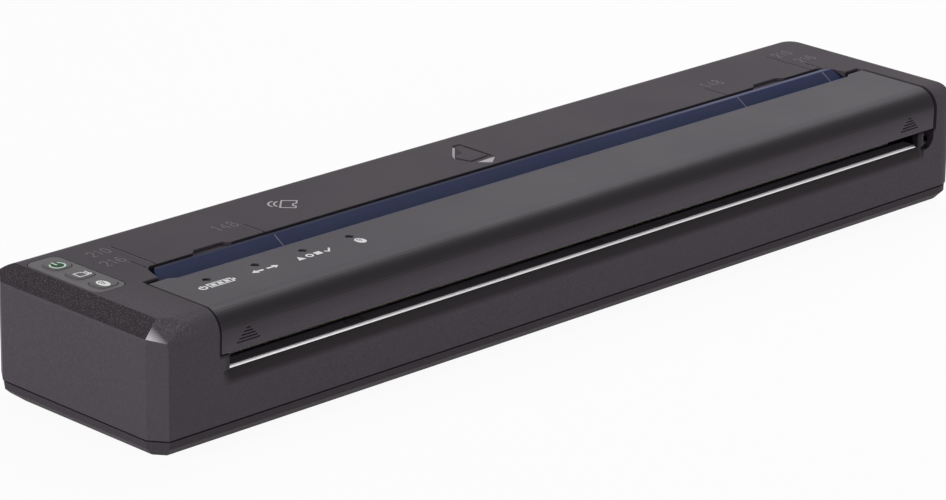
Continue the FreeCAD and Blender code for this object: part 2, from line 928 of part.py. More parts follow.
def make_button_panel():
    """Bezel round the three buttons, let into the top."""
    xs = (panel_left + panel_gap, panel_right - panel_gap)
    ys = (panel_front + panel_gap, panel_rear - panel_gap)
    plate = rounded_plate(xs, ys, (height - panel_thickness, height), panel_corner - panel_gap)
    return cut(plate, button_plate(button_gap, (0, height + overrun)))


def make_button(place):
    """Key cap with a retaining rim under the skin and a stem over its switch."""
    x, y = place
    top = height + button_rise
    half_x = button_length_x / 2
    half_y = button_length_y / 2
    low = skin_low - running_gap * 2 - button_flange
    cap = rounded_plate((x - half_x, x + half_x), (y - half_y, y + half_y), (low, top), button_corner)
    upper = [e for e in cap.Edges if e.BoundBox.ZMin > top - press_gap]
    cap = cap.makeChamfer(button_rise, upper)
    rim = block((x - half_x - button_flange_rim, x + half_x + button_flange_rim),
                (y - half_y - button_flange_rim, y + half_y + button_flange_rim), (low, low + button_flange))
    return fuse([cap, rim])


def switch_top():
    """Height of the switches' plungers, one travel under the buttons."""
    low = skin_low - running_gap * 2 - button_flange
    return low - button_travel - running_gap


def make_tact_switches():
    """Three small push switches on the button board."""
    top = switch_top()
    body_top = top - plunger_height
    switches = []
    for place in button_places():
        body = square_peg(place, switch_side, (body_top - switch_height, body_top))
        switches.append(fuse([body, square_peg(place, plunger_side, (body_top, top))]))
    return Part.makeCompound(switches)


def make_button_board():
    """Board under the switches, on two pillars that come down from the skin."""
    top = switch_top() - plunger_height - switch_height
    xs = (panel_left + board_margin, panel_right - board_margin)
    places = button_places()
    ends = (places[0][1] - button_pitch / 2, places[-1][1] + button_pitch / 2)
    plate = block(xs, ends, (top - button_board_thickness, top))
    pillars = []
    for x, y in places[1:]:
        spot = (x + button_length_x / 2, y - button_pitch / 2)
        pillars.append(square_peg(spot, board_pillar_side, (top, skin_low)))
    return plate, pillars


def cover_profile_block():
    """The cover's outer form, cut from the bar's own form so that both are flush."""
    ys = (-half_depth - overrun, cover_rear)
    zone = block((cover_left, cover_right), ys, (cover_low, height + overrun))
    return envelope(0, housing_low).common(zone)


def make_release_cover():
    """Cover shell with end walls, strip flange, roller brackets, grip marks and lamp holes."""
    body = cover_profile_block()
    ends = (cover_left + cover_end_wall, cover_right - cover_end_wall)
    room = block(ends, (-depth, cover_rear + overrun), (0, height))
    body = body.cut(envelope(cover_wall, housing_low).common(room))
    flange = block((strip_centre_x - strip_skirt_half, strip_centre_x + strip_skirt_half),
                   (strip_front - flange_front_overlap, flange_rear),
                   (height - strip_thickness - flange_thickness, cover_skin_low + press_gap))
    recess = prism_z(strip_plan(strip_gap), (height - strip_thickness, height + overrun))
    body = body.fuse(flange).cut(recess)
    body = fuse([body] + roller_brackets() + led_pegs() + detent_bumps())
    body = cut(body, grip_grooves())
    pin_hole = hinge_pin_radius + running_gap
    bush_hole = bush_radius + press_gap
    holes = [rod_x(hinge, pin_hole, (cover_left - overrun, cover_left + cover_end_wall)),
             rod_x(hinge, pin_hole, (cover_right - cover_end_wall, cover_right + overrun)),
             sided_x(platen, bush_hole, bush_sides, (left_bracket[0] - overrun, left_bracket[1] + press_gap)),
             sided_x(platen, bush_hole, bush_sides, (right_bracket[0] - press_gap, right_bracket[1]))]
    return cut(body, holes + led_rods(press_gap, (cover_low, height + overrun)))


def led_xs():
    """Places of the indicators along the cover."""
    return [led_first_x + led_pitch * i for i in range(led_count)]


def led_rods(grow, zs):
    """Upright rods at the indicators, grown all round."""
    radius = led_radius + grow
    return [sided_z((x, led_y), (radius, radius), led_sides, zs) for x in led_xs()]


def led_pegs():
    """Two pegs under the skin that carry the indicator board."""
    xs = [led_xs()[0] + led_pitch / 2, led_xs()[-1] - led_pitch / 2]
    zs = (cover_skin_low - led_board_drop, cover_skin_low + press_gap)
    return [square_peg((x, led_y), led_peg_side, zs) for x in xs]


def roller_brackets():
    """Plates under the cover that hold the roller's bushes."""
    plates = []
    for xs in (left_bracket, right_bracket):
        neck = block(xs, (platen_y - bracket_half_width, platen_y + bracket_half_width),
                     (platen_z, cover_skin_low + press_gap))
        plates.append(fuse([neck, rod_x(platen, bracket_radius, xs)]))
    return plates


def detent_bumps():
    """Low bumps on the end walls that hold the cover shut."""
    y = -half_depth + corner_radius
    zs = (cover_low + detent_radius, cover_low + 3 * detent_radius)
    bumps = []
    for x, side in ((cover_left, -1), (cover_right, 1)):
        crest = x + side * detent_rise
        points = [(x, y - detent_radius), (crest, y - detent_radius / 2), (crest, y + detent_radius / 2),
                  (x, y + detent_radius)]
        bumps.append(prism_z(points, zs))
    return bumps


def grip_grooves():
    """Triangles of short grooves in the front face, one near each end of the cover."""
    grooves = []
    face = -half_depth
    for centre in (cover_left + grip_inset_left, cover_right - grip_inset_right):
        for i in range(grip_bars):
            share = i / (grip_bars - 1)
            half = (grip_base_width + (grip_top_width - grip_base_width) * share) / 2
            low = grip_low + grip_pitch * i
            grooves.append(block((centre - half, centre + half), (face - overrun, face + grip_depth),
                                 (low, low + grip_bar_height)))
    return grooves


def strip_plan(grow):
    """The strip seen from above, with both ends cut at a slant."""
    half = strip_half_length + grow
    left = strip_centre_x - half
    right = strip_centre_x + half
    front = strip_front - grow
    rear = strip_crest_y + overrun
    bend = strip_crest_y - strip_rear_cut
    near = strip_rear_taper
    far = strip_rear_taper + strip_rear_cut + overrun
    return [(left + strip_end_length, front), (right - strip_end_length, front),
            (right, front + strip_end_taper), (right - near, bend), (right - far, rear),
            (left + far, rear), (left + near, bend), (left, front + strip_end_taper)]


def make_paper_guide_strip():
    """Strip that slopes up to a crest at its rear, with a skirt that follows a circle round the hinge."""
    crest = height + strip_crest_rise
    low = height - strip_thickness
    valley = low + strip_floor
    rear_top = strip_crest_y + strip_crest_rise
    crest_front = strip_crest_y - strip_crest_width
    slope_foot = crest_front - (crest - valley) / math.tan(strip_slope)
    points = [(strip_front, low), (strip_front, valley), (slope_foot, valley), (crest_front, crest),
              (strip_crest_y, crest), (rear_top, height), (rear_top, low)]
    top = prism_x(points, (strip_centre_x - strip_half_length, strip_centre_x + strip_half_length))
    top = top.common(prism_z(strip_plan(0), (0, crest)))
    xs = (strip_centre_x - strip_skirt_half, strip_centre_x + strip_skirt_half)
    skirt = sector_x(hinge, (guide_radius - skirt_thickness, guide_radius), (skirt_low_angle, 0), xs)
    root = [(flange_rear + strip_gap, low), (rear_top, low), (hinge_y + guide_radius, hinge_z),
            (hinge_y + guide_radius - skirt_thickness, hinge_z)]
    return fuse([top, prism_x(root, xs), skirt])


def make_cover_inner_guide():
    """Curved inner wall of the paper's path, on ribs under the cover's flange."""
    xs = (strip_centre_x - inner_guide_half, strip_centre_x + inner_guide_half)
    radii = (guide_radius - skirt_thickness, guide_radius)
    shell = sector_x(hinge, radii, (inner_guide_end, inner_guide_start), xs)
    top = height - strip_thickness - flange_thickness
    ribs = []
    for x in rib_places(guide_rib_count, xs, guide_rib_thickness):
        rib_xs = (x, x + guide_rib_thickness)
        disc = rod_x(hinge, radii[0] + press_gap, rib_xs)
        back = hinge_y + guide_radius - 2 * skirt_thickness
        zone = block(rib_xs, (strip_front - flange_front_overlap, back), (0, top))
        ribs.append(disc.common(zone))
    return fuse([shell] + ribs)


def make_led_lenses():
    """Clear pipes that carry the indicators' light to the top."""
    return Part.makeCompound(led_rods(0, (cover_skin_low - led_board_drop, height - led_recess)))


def make_led_board():
    """Small board under the light pipes."""
    top = cover_skin_low - led_board_drop
    xs = led_xs()
    return block((xs[0] - led_board_margin, xs[-1] + led_board_margin),
                 (led_y - led_board_half, led_y + led_board_half), (top - led_board_thickness, top))


def tooth_points(centre, teeth, phase):
    """Closed outline of a wheel with involute flanks, met at the root, the pitch circle and the tip."""
    pitch_radius = gear_module * teeth / 2
    base_radius = pitch_radius * math.cos(pressure_angle)
    tip = pitch_radius + addendum_share * gear_module
    root = pitch_radius - dedendum_share * gear_module
    half_pitch = (math.pi * gear_module / 2 - backlash) / (2 * pitch_radius)

    def half_angle(radius):
        pressure = math.acos(min(1, base_radius / radius))
        level = math.tan(pressure_angle) - pressure_angle
        return half_pitch + level - (math.tan(pressure) - pressure)

    flank = [(root, half_angle(max(base_radius, root))), (pitch_radius, half_pitch), (tip, half_angle(tip))]
    points = []
    for i in range(teeth):
        middle = phase + 2 * math.pi * i / teeth
        points += [polar(centre, r, middle - a) for r, a in flank]
        points += [polar(centre, r, middle + a) for r, a in reversed(flank)]
    return points


def meshed_phase(angle, phase, teeth, other_teeth):
    """Phase of a wheel whose gap meets the tooth of its partner along the line of centres."""
    return angle + math.pi + math.pi / other_teeth - (phase - angle) * teeth / other_teeth


platen_phase = 0.0
idler_phase = meshed_phase(idler_angle, platen_phase, platen_teeth, idler_teeth)
small_phase = meshed_phase(reduction_angle, idler_phase, idler_teeth, small_teeth)
big_phase = 0.0
pinion_phase = meshed_phase(pinion_angle, big_phase, big_teeth, pinion_teeth)


def wheel(centre, teeth, phase, xs, bore):
    """Toothed wheel with its bore."""
    solid = prism_x(tooth_points(centre, teeth, phase), xs)
    return solid.cut(rod_x(centre, bore, (xs[0] - overrun, xs[1] + overrun)))


def make_platen_gear():
    """Wheel on the roller's shaft."""
    return wheel(platen, platen_teeth, platen_phase, (gear_left, gear_right), platen_shaft_radius + press_gap)


def make_idler_gear():
    """Wheel between the roller and the reduction wheel."""
    return wheel(idler, idler_teeth, idler_phase, (gear_left, gear_right), post_radius + running_gap)


def make_reduction_gear():
    """Big and small wheel in one, on the second post."""
    big = wheel(reduction, big_teeth, big_phase, (big_left, big_left + big_face), post_radius + running_gap)
    small = wheel(reduction, small_teeth, small_phase, (big_left + big_face, gear_right),
                  post_radius + running_gap)
    return fuse([big, small])


def make_motor_pinion():
    """Pinion and rotor shaft of the motor."""
    teeth = wheel(pinion, pinion_teeth, pinion_phase, (big_left, big_left + big_face), motor_shaft_radius / 2)
    shaft = rod_x(pinion, motor_shaft_radius, (big_left, frame_left[1] + motor_bore_depth - running_gap))
    return fuse([teeth, shaft])


def make_gear_posts():
    """Two headed pins riveted in the left frame."""
    posts = []
    for centre, end in ((idler, gear_left), (reduction, big_left)):
        tip = end - hub_extra
        pin = rod_x(centre, post_radius, (tip, frame_left[1]))
        head = sided_x(centre, post_head_radius, post_head_sides, (tip - post_head, tip))
        posts.append(fuse([pin, head]))
    return Part.makeCompound(posts)


def make_platen_shaft():
    """Steel shaft of the roller."""
    return rod_x(platen, platen_shaft_radius, (gear_left, right_bracket[1] + platen_shaft_overhang))


def make_platen_rubber():
    """Rubber sleeve with chamfered ends."""
    sleeve = rod_x(platen, platen_radius, (rubber_left, rubber_right))
    rims = [e for e in sleeve.Edges if e.BoundBox.XLength < press_gap]
    sleeve = sleeve.makeChamfer(platen_edge_chamfer, rims)
    return sleeve.cut(rod_x(platen, platen_shaft_radius + press_gap, (-width, width)))


def make_platen_bushes():
    """Flanged bushes with flat sides, which can't turn in the cover's brackets."""
    bushes = []
    for xs, flange in ((left_bracket, (left_bracket[1], left_bracket[1] + bush_flange)),
                       (right_bracket, (right_bracket[0] - bush_flange, right_bracket[0]))):
        bush = fuse([sided_x(platen, bush_radius, bush_sides, xs),
                     sided_x(platen, bush_flange_radius, bush_sides, flange)])
        bushes.append(bush.cut(rod_x(platen, platen_shaft_radius + running_gap, (-width, width))))
    return Part.makeCompound(bushes)


def frame_outline(rear, top):
    """Side frame in YZ, low at the front and high behind the roller."""
    low = [(frame_front, floor_top), (rear, floor_top)]
    if rear > shelf_y:
        step_y = shelf_y - lip_gap
        low = [(frame_front, floor_top), (step_y, floor_top), (step_y, shelf_top + lip_gap),
               (rear, shelf_top + lip_gap)]
    return low + [(rear, top), (frame_step_y, top), (frame_step_y, frame_step_z),
                  (frame_front, frame_front_top)]


def make_left_frame():
    """Stamped plate with a bent foot that carries the motor and the gear posts."""
    plate = prism_x(frame_outline(frame_rear, frame_top), frame_left)
    foot = block((frame_left[1] - press_gap, frame_left[1] + frame_foot), (frame_front, frame_step_y),
                 (floor_top, floor_top + frame_thickness))
    plate = fuse([plate, foot])
    span = (frame_left[0] - overrun, frame_left[1] + overrun)
    holes = [rod_x(hinge, frame_hinge_clear, span)]
    holes += [rod_x(idler, post_radius + press_gap, span), rod_x(reduction, post_radius + press_gap, span)]
    holes += [rod_x(pinion, motor_boss_radius, span), rod_x(sink_pivot, pivot_pin_radius + press_gap, span)]
    return cut(plate, holes + motor_screw_bores(span))


def make_right_frame():
    """Stamped plate with a bent foot that carries the head's right pivot."""
    plate = prism_x(frame_outline(frame_right_rear, frame_step_z), frame_right)
    foot = block((frame_right[1] - press_gap, frame_right[1] + frame_foot), (frame_front, frame_step_y),
                 (floor_top, floor_top + frame_thickness))
    plate = fuse([plate, foot])
    span = (frame_right[0] - overrun, frame_right[1] + overrun)
    return cut(plate, [rod_x(hinge, frame_hinge_clear, span),
                       rod_x(sink_pivot, pivot_pin_radius + press_gap, span)])


def motor_ears():
    """Places of the two motor screws, at opposite corners of the motor."""
    reach = motor_radius + motor_ear_margin
    return [polar(pinion, reach, motor_ear_angle + turn) for turn in (0, math.pi)]


def motor_screw_bores(xs):
    """Bores that the motor's screws fill."""
    return [sided_x(p, motor_screw_radius + press_gap, screw_sides, xs) for p in motor_ears()]


def make_drive_motor():
    """Stepper can with two ears and a bearing boss."""
    left = frame_left[1]
    can = rod_x(pinion, motor_radius, (left, left + motor_length))
    ears = [rod_x(ear, motor_ear_radius, (left, left + motor_flange)) for ear in motor_ears()]
    boss = rod_x(pinion, motor_boss_radius - running_gap, (frame_left[0], left))
    body = fuse([can, boss] + ears)
    bore = rod_x(pinion, motor_shaft_radius + running_gap, (frame_left[0] - overrun, left + motor_bore_depth))
    return cut(body, [bore] + motor_screw_bores((left - overrun, left + motor_flange)))


def head_block(forward, up, xs):
    """Tilted bar between two pairs of limits in the paper frame."""
    corners = [on_tilt(forward[0], up[0]), on_tilt(forward[1], up[0]),
               on_tilt(forward[1], up[1]), on_tilt(forward[0], up[1])]
    return prism_x(corners, xs)


def head_xs():
    """Both ends of the print head."""
    return (frame_left[1] + part_gap, frame_right[0] - part_gap)


def make_print_head():
    """Ceramic strip with the cover of its drivers behind the heating line."""
    xs = head_xs()
    strip = head_block((-head_rear, head_front), (-head_thickness, 0), xs)
    cap_forward = (-head_rear - driver_cover_length, -head_rear)
    cap = head_block(cap_forward, (-head_thickness, -driver_cover_rise / 2), xs)
    return fuse([strip, cap])


def make_heat_sink():
    """Aluminium bar under the head, with fins below and a pivot barrel behind."""
    xs = head_xs()
    top = -head_thickness
    bar = head_block((-sink_pivot_back, sink_front), (top - sink_thickness, top), xs)
    fins = []
    for i in range(sink_fin_count):
        start = sink_front - sink_fin_thickness - sink_fin_pitch * i
        ups = (top - sink_thickness - sink_fin_height, top - sink_thickness + press_gap)
        fins.append(head_block((start, start + sink_fin_thickness), ups, xs))
    barrel = rod_x(sink_pivot, sink_barrel_radius, xs)
    body = fuse([bar, barrel] + fins)
    bores = []
    for x, side in ((xs[0], 1), (xs[1], -1)):
        limits = tuple(sorted((x - side * overrun, x + side * (pivot_pin_reach + running_gap))))
        bores.append(rod_x(sink_pivot, pivot_pin_radius + running_gap, limits))
    return cut(body, bores)


def make_head_pivot_pins():
    """Pins in the side frames on which the heat sink tilts."""
    left, right = head_xs()
    pins = [rod_x(sink_pivot, pivot_pin_radius, (frame_left[0], left + pivot_pin_reach)),
            rod_x(sink_pivot, pivot_pin_radius, (right - pivot_pin_reach, frame_right[1]))]
    return Part.makeCompound(pins)


def make_head_springs():
    """Bent leaf springs between the floor and the heat sink."""
    start = -half_depth + spring_setback
    y = start + spring_foot
    tip = on_tilt(-head_rear - spring_tip_back, -head_thickness - sink_thickness - spring_top_gap)
    t = spring_thickness
    low = floor_top
    bend = y + spring_rise_run / 2
    middle = (low + tip[1]) / 2
    points = [(start, low), (y, low), (bend, middle), (tip[0] + t, tip[1] - t),
              (tip[0] - t, tip[1] - t), (bend - 2 * t, middle), (y - t, low + t), (start, low + t)]
    springs = []
    for i in range(spring_count):
        x = head_centre_x + paper_width * spring_pitch_share * (i - (spring_count - 1) / 2)
        springs.append(prism_x(points, (x - spring_width / 2, x + spring_width / 2)))
    return Part.makeCompound(springs)


def make_hinge_pins():
    """Pins pressed in the housing's webs, turning in the cover's end walls."""
    left = cover_left - cover_gap - web_thickness
    right = cover_right + cover_gap + web_thickness
    pins = [rod_x(hinge, hinge_pin_radius, (left, left + hinge_pin_length)),
            rod_x(hinge, hinge_pin_radius, (right - hinge_pin_length, right))]
    return Part.makeCompound(pins)


def make_tear_bar():
    """Thin steel strip with a bevelled front edge, on the front rail."""
    front = -half_depth + tear_bar_front_inset
    rear = front + tear_bar_depth
    top = exit_low + tear_bar_thickness
    points = [(front, exit_low), (rear, exit_low), (rear, top), (front + tear_bar_bevel, top),
              (front, exit_low + tear_bar_thickness / 2)]
    return prism_x(points, (exit_left + part_gap, exit_right - part_gap))


def make_exit_guide():
    """Lower guide from the head to the exit, on a leg that stands on the floor."""
    front = -half_depth + wall + exit_guide_back - rail_depth
    rise = math.tan(exit_tilt)
    top_front = nip_z + (nip_y - front) * rise - exit_guide_drop
    rear = front + exit_guide_length
    top_rear = nip_z + (nip_y - rear) * rise - exit_guide_drop
    t = exit_guide_wall
    points = [(front, floor_top), (front + t, floor_top), (front + t, top_front - t - t * rise),
              (rear, top_rear - t), (rear, top_rear), (front, top_front)]
    return prism_x(points, (frame_left[1], frame_right[0]))


def make_feed_guide():
    """Outer wall of the paper's path round the hinge, on ribs that stand on the floor."""
    xs = (frame_left[1], frame_right[0])
    radii = (guide_radius + feed_gap, guide_outer)
    shell = sector_x(hinge, radii, (feed_end, feed_start), xs)
    ribs = []
    spots = rib_places(feed_rib_count, (xs[0] + motor_length + frame_foot, xs[1]), guide_rib_thickness)
    for x in spots:
        rib_xs = (x, x + guide_rib_thickness)
        back = hinge_y + radii[1] - feed_wall / 2
        zone = block(rib_xs, (sink_pivot[0] + sink_barrel_radius + part_gap * 3, back), (floor_top, hinge_z))
        zone = zone.cut(rod_x(hinge, radii[1] - press_gap, (rib_xs[0] - overrun, rib_xs[1] + overrun)))
        ribs.append(zone)
    body = fuse([shell] + ribs)
    place = sensor_place()
    half = sensor_width / 2 + press_gap
    window = block((sensor_x - half, sensor_x + half), (place[0] - sensor_depth, place[0] + sensor_depth),
                   (place[1] - sensor_height / 2 - press_gap, place[1] + sensor_height / 2 + press_gap))
    return body.cut(window)


def sensor_place():
    """Where the paper sensor looks through the feed guide."""
    return polar(hinge, guide_outer - feed_wall / 2, sensor_angle)


def make_paper_sensor():
    """Reflective sensor set in the feed guide's window."""
    y, z = sensor_place()
    half = sensor_width / 2
    front = hinge_y + math.sqrt((guide_radius + feed_gap) ** 2 - (z + sensor_height / 2 - hinge_z) ** 2)
    return block((sensor_x - half, sensor_x + half), (front, front + sensor_depth),
                 (z - sensor_height / 2, z + sensor_height / 2))


def make_battery_pack():
    """Two cells in one sleeve."""
    return rod_x((battery_y, battery_z), battery_radius - press_gap, (battery_left, battery_right))


def make_main_board():
    """Main board on four posts behind the feed guide."""
    zs = (board_low, board_low + board_thickness)
    return block((board_left, board_right), (board_front, board_rear), zs)


def make_board_connectors():
    """Row of plug sockets on the main board."""
    low = board_low + board_thickness
    sockets = []
    for i in range(connector_count):
        x = board_left + connector_inset + connector_pitch * i
        y = board_front + connector_back
        body = block((x, x + connector_length), (y, y + connector_depth), (low, low + connector_height))
        t = port_shell * 2
        inner = block((x + t, x + connector_length - t), (y + t, y + connector_depth - t),
                      (low + t, low + connector_height + overrun))
        sockets.append(body.cut(inner))
    return Part.makeCompound(sockets)


def make_usb_port():
    """Charging socket: an oval steel shell with a tongue, in the rear wall."""
    rear = half_depth - port_recess
    front = rear - port_depth
    z = board_low + board_thickness + port_height / 2
    shell = stadium_y(port_x, z, port_width, port_height, (front, rear))
    inner = stadium_y(port_x, z, port_width - 2 * port_shell, port_height - 2 * port_shell,
                      (rear - port_tongue_depth - port_throat, rear + overrun))
    tongue = block((port_x - port_tongue_width / 2, port_x + port_tongue_width / 2),
                   (rear - port_tongue_depth - port_throat - press_gap, rear - port_throat),
                   (z - port_tongue / 2, z + port_tongue / 2))
    return fuse([shell.cut(inner), tongue])


def make_rubber_feet():
    """Four pads under the tray."""
    feet = []
    reach_x = half_width - foot_side_inset
    reach_y = half_depth - foot_depth_inset
    for x in (-reach_x, reach_x):
        for y in (-reach_y, reach_y):
            pad = block((x - foot_length / 2, x + foot_length / 2), (y - foot_width / 2, y + foot_width / 2),
                        (0, foot_height))
            feet.append(pad.makeChamfer(foot_corner, upright_edges(pad)))
    return Part.makeCompound(feet)


def make_case_screws():
    """Four screws, driven up through the tray into the housing's bosses."""
    screws = []
    for x, y in screw_places():
        zs = (screw_seat((x, y)), housing_low + screw_length - part_gap)
        shank = sided_z((x, y), (screw_radius, screw_radius), screw_sides, zs)
        screws.append(fuse([screw_head((x, y), 0), shank]))
    return Part.makeCompound(screws)


def make_motor_screws():
    """Two screws that hold the motor's flange to the left frame."""
    screws = []
    for centre in motor_ears():
        outside = (frame_left[0] - motor_screw_head, frame_left[0])
        head = sided_x(centre, motor_screw_head_radius, screw_sides, outside)
        inside = (frame_left[0], frame_left[1] + motor_flange)
        shank = sided_x(centre, motor_screw_radius, screw_sides, inside)
        screws.append(fuse([head, shank]))
    return Part.makeCompound(screws)


def all_parts():
    """Every sub-part under its node name."""
    board, pillars = make_button_board()
    housing = fuse([make_main_housing()] + pillars)
    parts = {
        "base_case": make_base_case(),
        "main_housing": housing,
        "button_panel": make_button_panel(),
        "button_board": board,
        "tact_switches": make_tact_switches(),
        "release_cover": make_release_cover(),
        "paper_guide_strip": make_paper_guide_strip(),
        "cover_inner_guide": make_cover_inner_guide(),
        "led_lenses": make_led_lenses(),
        "led_board": make_led_board(),
        "hinge_pins": make_hinge_pins(),
        "platen_shaft": make_platen_shaft(),
        "platen_rubber": make_platen_rubber(),
        "platen_gear": make_platen_gear(),
        "platen_bushes": make_platen_bushes(),
        "idler_gear": make_idler_gear(),
        "reduction_gear": make_reduction_gear(),
        "motor_pinion": make_motor_pinion(),
        "drive_motor": make_drive_motor(),
        "gear_posts": make_gear_posts(),
        "left_frame": make_left_frame(),
        "right_frame": make_right_frame(),
        "print_head": make_print_head(),
        "heat_sink": make_heat_sink(),
        "head_pivot_pins": make_head_pivot_pins(),
        "head_springs": make_head_springs(),
        "tear_bar": make_tear_bar(),
        "exit_guide": make_exit_guide(),
        "feed_guide": make_feed_guide(),
        "paper_sensor": make_paper_sensor(),
        "battery_pack": make_battery_pack(),
        "main_board": make_main_board(),
        "board_connectors": make_board_connectors(),
        "usb_port": make_usb_port(),
        "rubber_feet": make_rubber_feet(),
        "case_screws": make_case_screws(),
        "motor_screws": make_motor_screws(),
    }
    for name, place in zip(("wireless_button", "feed_button", "power_button"), button_places()):
        parts[name] = make_button(place)
    return parts


def main():
    """Write one file for each sub-part."""
    os.makedirs("parts", exist_ok=True)
    for name, raw in all_parts().items():
        shape = raw.removeSplitter()
        print(f"{name:20s} solids {len(shape.Solids)} valid {shape.isValid()} volume {shape.Volume:10.1f}")
        shape.exportStep(f"parts/{name}.step")


main()
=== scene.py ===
import math
import bmesh
import bpy
from mathutils import Matrix, Vector
from mathutils.bvhtree import BVHTree
from mathutils.geometry import tessellate_polygon


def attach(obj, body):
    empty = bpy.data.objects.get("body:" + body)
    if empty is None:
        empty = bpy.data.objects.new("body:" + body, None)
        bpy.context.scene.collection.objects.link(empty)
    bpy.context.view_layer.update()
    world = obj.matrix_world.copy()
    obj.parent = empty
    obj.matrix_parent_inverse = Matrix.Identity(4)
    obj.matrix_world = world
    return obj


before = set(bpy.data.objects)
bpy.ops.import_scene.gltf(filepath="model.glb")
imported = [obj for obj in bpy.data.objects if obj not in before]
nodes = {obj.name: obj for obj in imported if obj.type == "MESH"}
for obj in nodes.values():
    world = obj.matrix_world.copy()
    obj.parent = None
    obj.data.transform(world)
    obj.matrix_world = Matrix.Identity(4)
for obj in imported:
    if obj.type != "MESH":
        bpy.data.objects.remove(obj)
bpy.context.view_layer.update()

MM = 0.001
X, Y, Z = 0, 1, 2

# Picture size and the camera that the object's edges in the picture give; angles in degrees, lengths in mm
PICTURE_WIDTH = 946
SENSOR_MM = 36.0
FOCAL_PIXELS = 4292.74
CAMERA_AZIMUTH = -44.789
CAMERA_ELEVATION = 19.370
CAMERA_ROLL = 0.819
CAMERA_DISTANCE = 979.1
CAMERA_TARGET = (-5.503, 4.898, 10.318)

# Colours of the plastics and rubbers as they look, red, green and blue from 0 to 255
HOUSING = (69, 64, 70)
COVER = (69, 64, 71)
PANEL = (88, 84, 87)
KEY = (84, 80, 84)
BASE = (60, 55, 60)
STRIP = (35, 42, 72)
BLACK = (20, 19, 21)
EXIT = (52, 48, 53)
ACETAL = (205, 200, 188)
ROLLER = (34, 32, 34)
FEET = (38, 36, 38)
BOARD = (30, 92, 52)
SOCKET = (205, 198, 176)
SLEEVE = (36, 62, 120)
CERAMIC = (222, 217, 206)
LENS_DARK = (10, 8, 12)
LENS_LIGHT = (22, 20, 25)

# Colours of the metals
CUTTER = (226, 224, 226)
BRIGHT_STEEL = (190, 190, 192)
PLATED_STEEL = (160, 160, 158)
BRASS = (196, 164, 96)
ALUMINIUM = (178, 180, 184)
# painted dull grey on the tear bar's upper face, in place of its reflection in the exit's shade
BAR_TOP_SHADE_TONE = (96, 91, 98)

# Colours of the patches within one piece: painted shade and painted highlights on some, real differences of
# stuff on others
BEVEL = (46, 42, 45)
# painted highlight on the small facet at the front left corner
FACET_HIGHLIGHT = (190, 186, 190)
# painted shade in the hollow under the tear bar
SCOOP_SHADE = (44, 40, 43)
# painted shadow in the seam round the cover and on the floors of the grip grooves
DEEP_SHADOW = (16, 12, 15)
# painted shade on the cover's rounded front edge, and fading down its front below it
BEND_SHADE = (30, 26, 30)
BEND_FOOT = (52, 47, 52)
STRIP_CREST = (31, 34, 57)
# painted highlight on the strip crest's right end
STRIP_CREST_HIGHLIGHT = (92, 93, 118)
HEAT_LINE = (58, 40, 30)
TRACES = (188, 158, 104)
DRIVER_RESIN = (24, 22, 24)

# Colours of the printed and raised marks, and of the sheets of painted highlight and painted shade on small
# details
PRINT_WHITE = (252, 251, 253)
# grey of printed signs, also used for the painted highlights on the centre mark
GREY_PRINT_AND_HIGHLIGHT = (190, 185, 190)
PRINT_GREEN = (208, 238, 214)
LAMP_GREEN = (30, 62, 48)
# dark of printed signs, and of the painted shadows and painted shade on small details
DARK_PRINT_AND_SHADE = (34, 30, 34)
# painted highlight tone of the raised numbers and of the lines beside the grooves
RELIEF_HIGHLIGHT = (112, 106, 112)
GUIDE_LINE = (108, 108, 122)
# painted highlight on the rim where the cover meets the strip
STRIP_RIM_HIGHLIGHT = (96, 100, 128)

# Where a patch fades in: an axis, the place where it starts and the place where it is full, in mm
SPARKLE_EDGES = ((Z, 26.0, 28.0), (X, -112.0, -119.0))
FACET_EDGE = (X, -124.2, -126.6)
BEND_FOOT_EDGES = ((Z, 22.0, 26.5), (Y, -26.6, -27.3))
SEAM_EDGES = ((X, -110.75, -110.6), (X, 119.4, 119.25), (Y, -4.0, -4.5), (Z, 19.5, 20.5))
SCOOP_EDGES = ((X, -109.5, -107.5), (X, 115.5, 113.5), (Y, -25.0, -26.0), (Z, 13.2, 14.6))
GRIP_EDGES = ((Y, -27.42, -27.3), (Y, -26.0, -26.2), (Z, 21.8, 21.9), (Z, 25.3, 25.2))
HEAT_LINE_EDGES = ((Y, -14.40, -14.30), (Y, -13.60, -13.70))
TRACE_EDGES = ((Y, -13.60, -13.50), (Y, -10.9, -11.0))
DRIVER_EDGE = (Y, -10.9, -10.8)
CREST_EDGE = (Y, 0.6, 0.95)
CREST_HIGHLIGHT_EDGE = (X, 25.0, 75.0)
TRACE_PITCH = 0.8

# Directions of faces given a tone of their own, some of it painted highlight and painted shade
UP = (0.0, 0.0, 1.0)
FACET_NORMAL = (-0.271, -0.400, 0.876)
BEVEL_NORMAL = (-0.414, 0.0, 0.91)
BEND_NORMAL = (0.0, -0.80, 0.60)

# Surface patterns: waves per metre, the part of a noise that shows, and how far tones go up or down
DRIFT_WAVES = 38.0
FLAKE_WAVES = 5200.0
SCRATCH_WAVES = 900.0
INK_WAVES = 2400.0
LENS_WAVES = 900.0
NOISE_SPAN = (0.3, 0.7)
GRAIN_SPAN = (0.35, 0.65)
FLAKE_SPAN = (0.62, 0.72)
DRIFT_SHARE = 0.35
DRIFT_GAIN = 1.05
FLAKE_GAIN = 2.6
WORN_GAIN = 1.3
METAL_GAINS = (0.88, 1.08)
INK_GAINS = (0.90, 1.04)
INK_ROUGHNESS = 0.55

# Metal: its softened edge and its relief in mm, and the stretch of its drawn lines
METAL_EDGE = 0.12
METAL_RELIEF = 0.01
DRAWN_ALONG_X = (0.02, 1.0, 1.0)
DRAWN_ALONG_Z = (1.0, 1.0, 0.05)

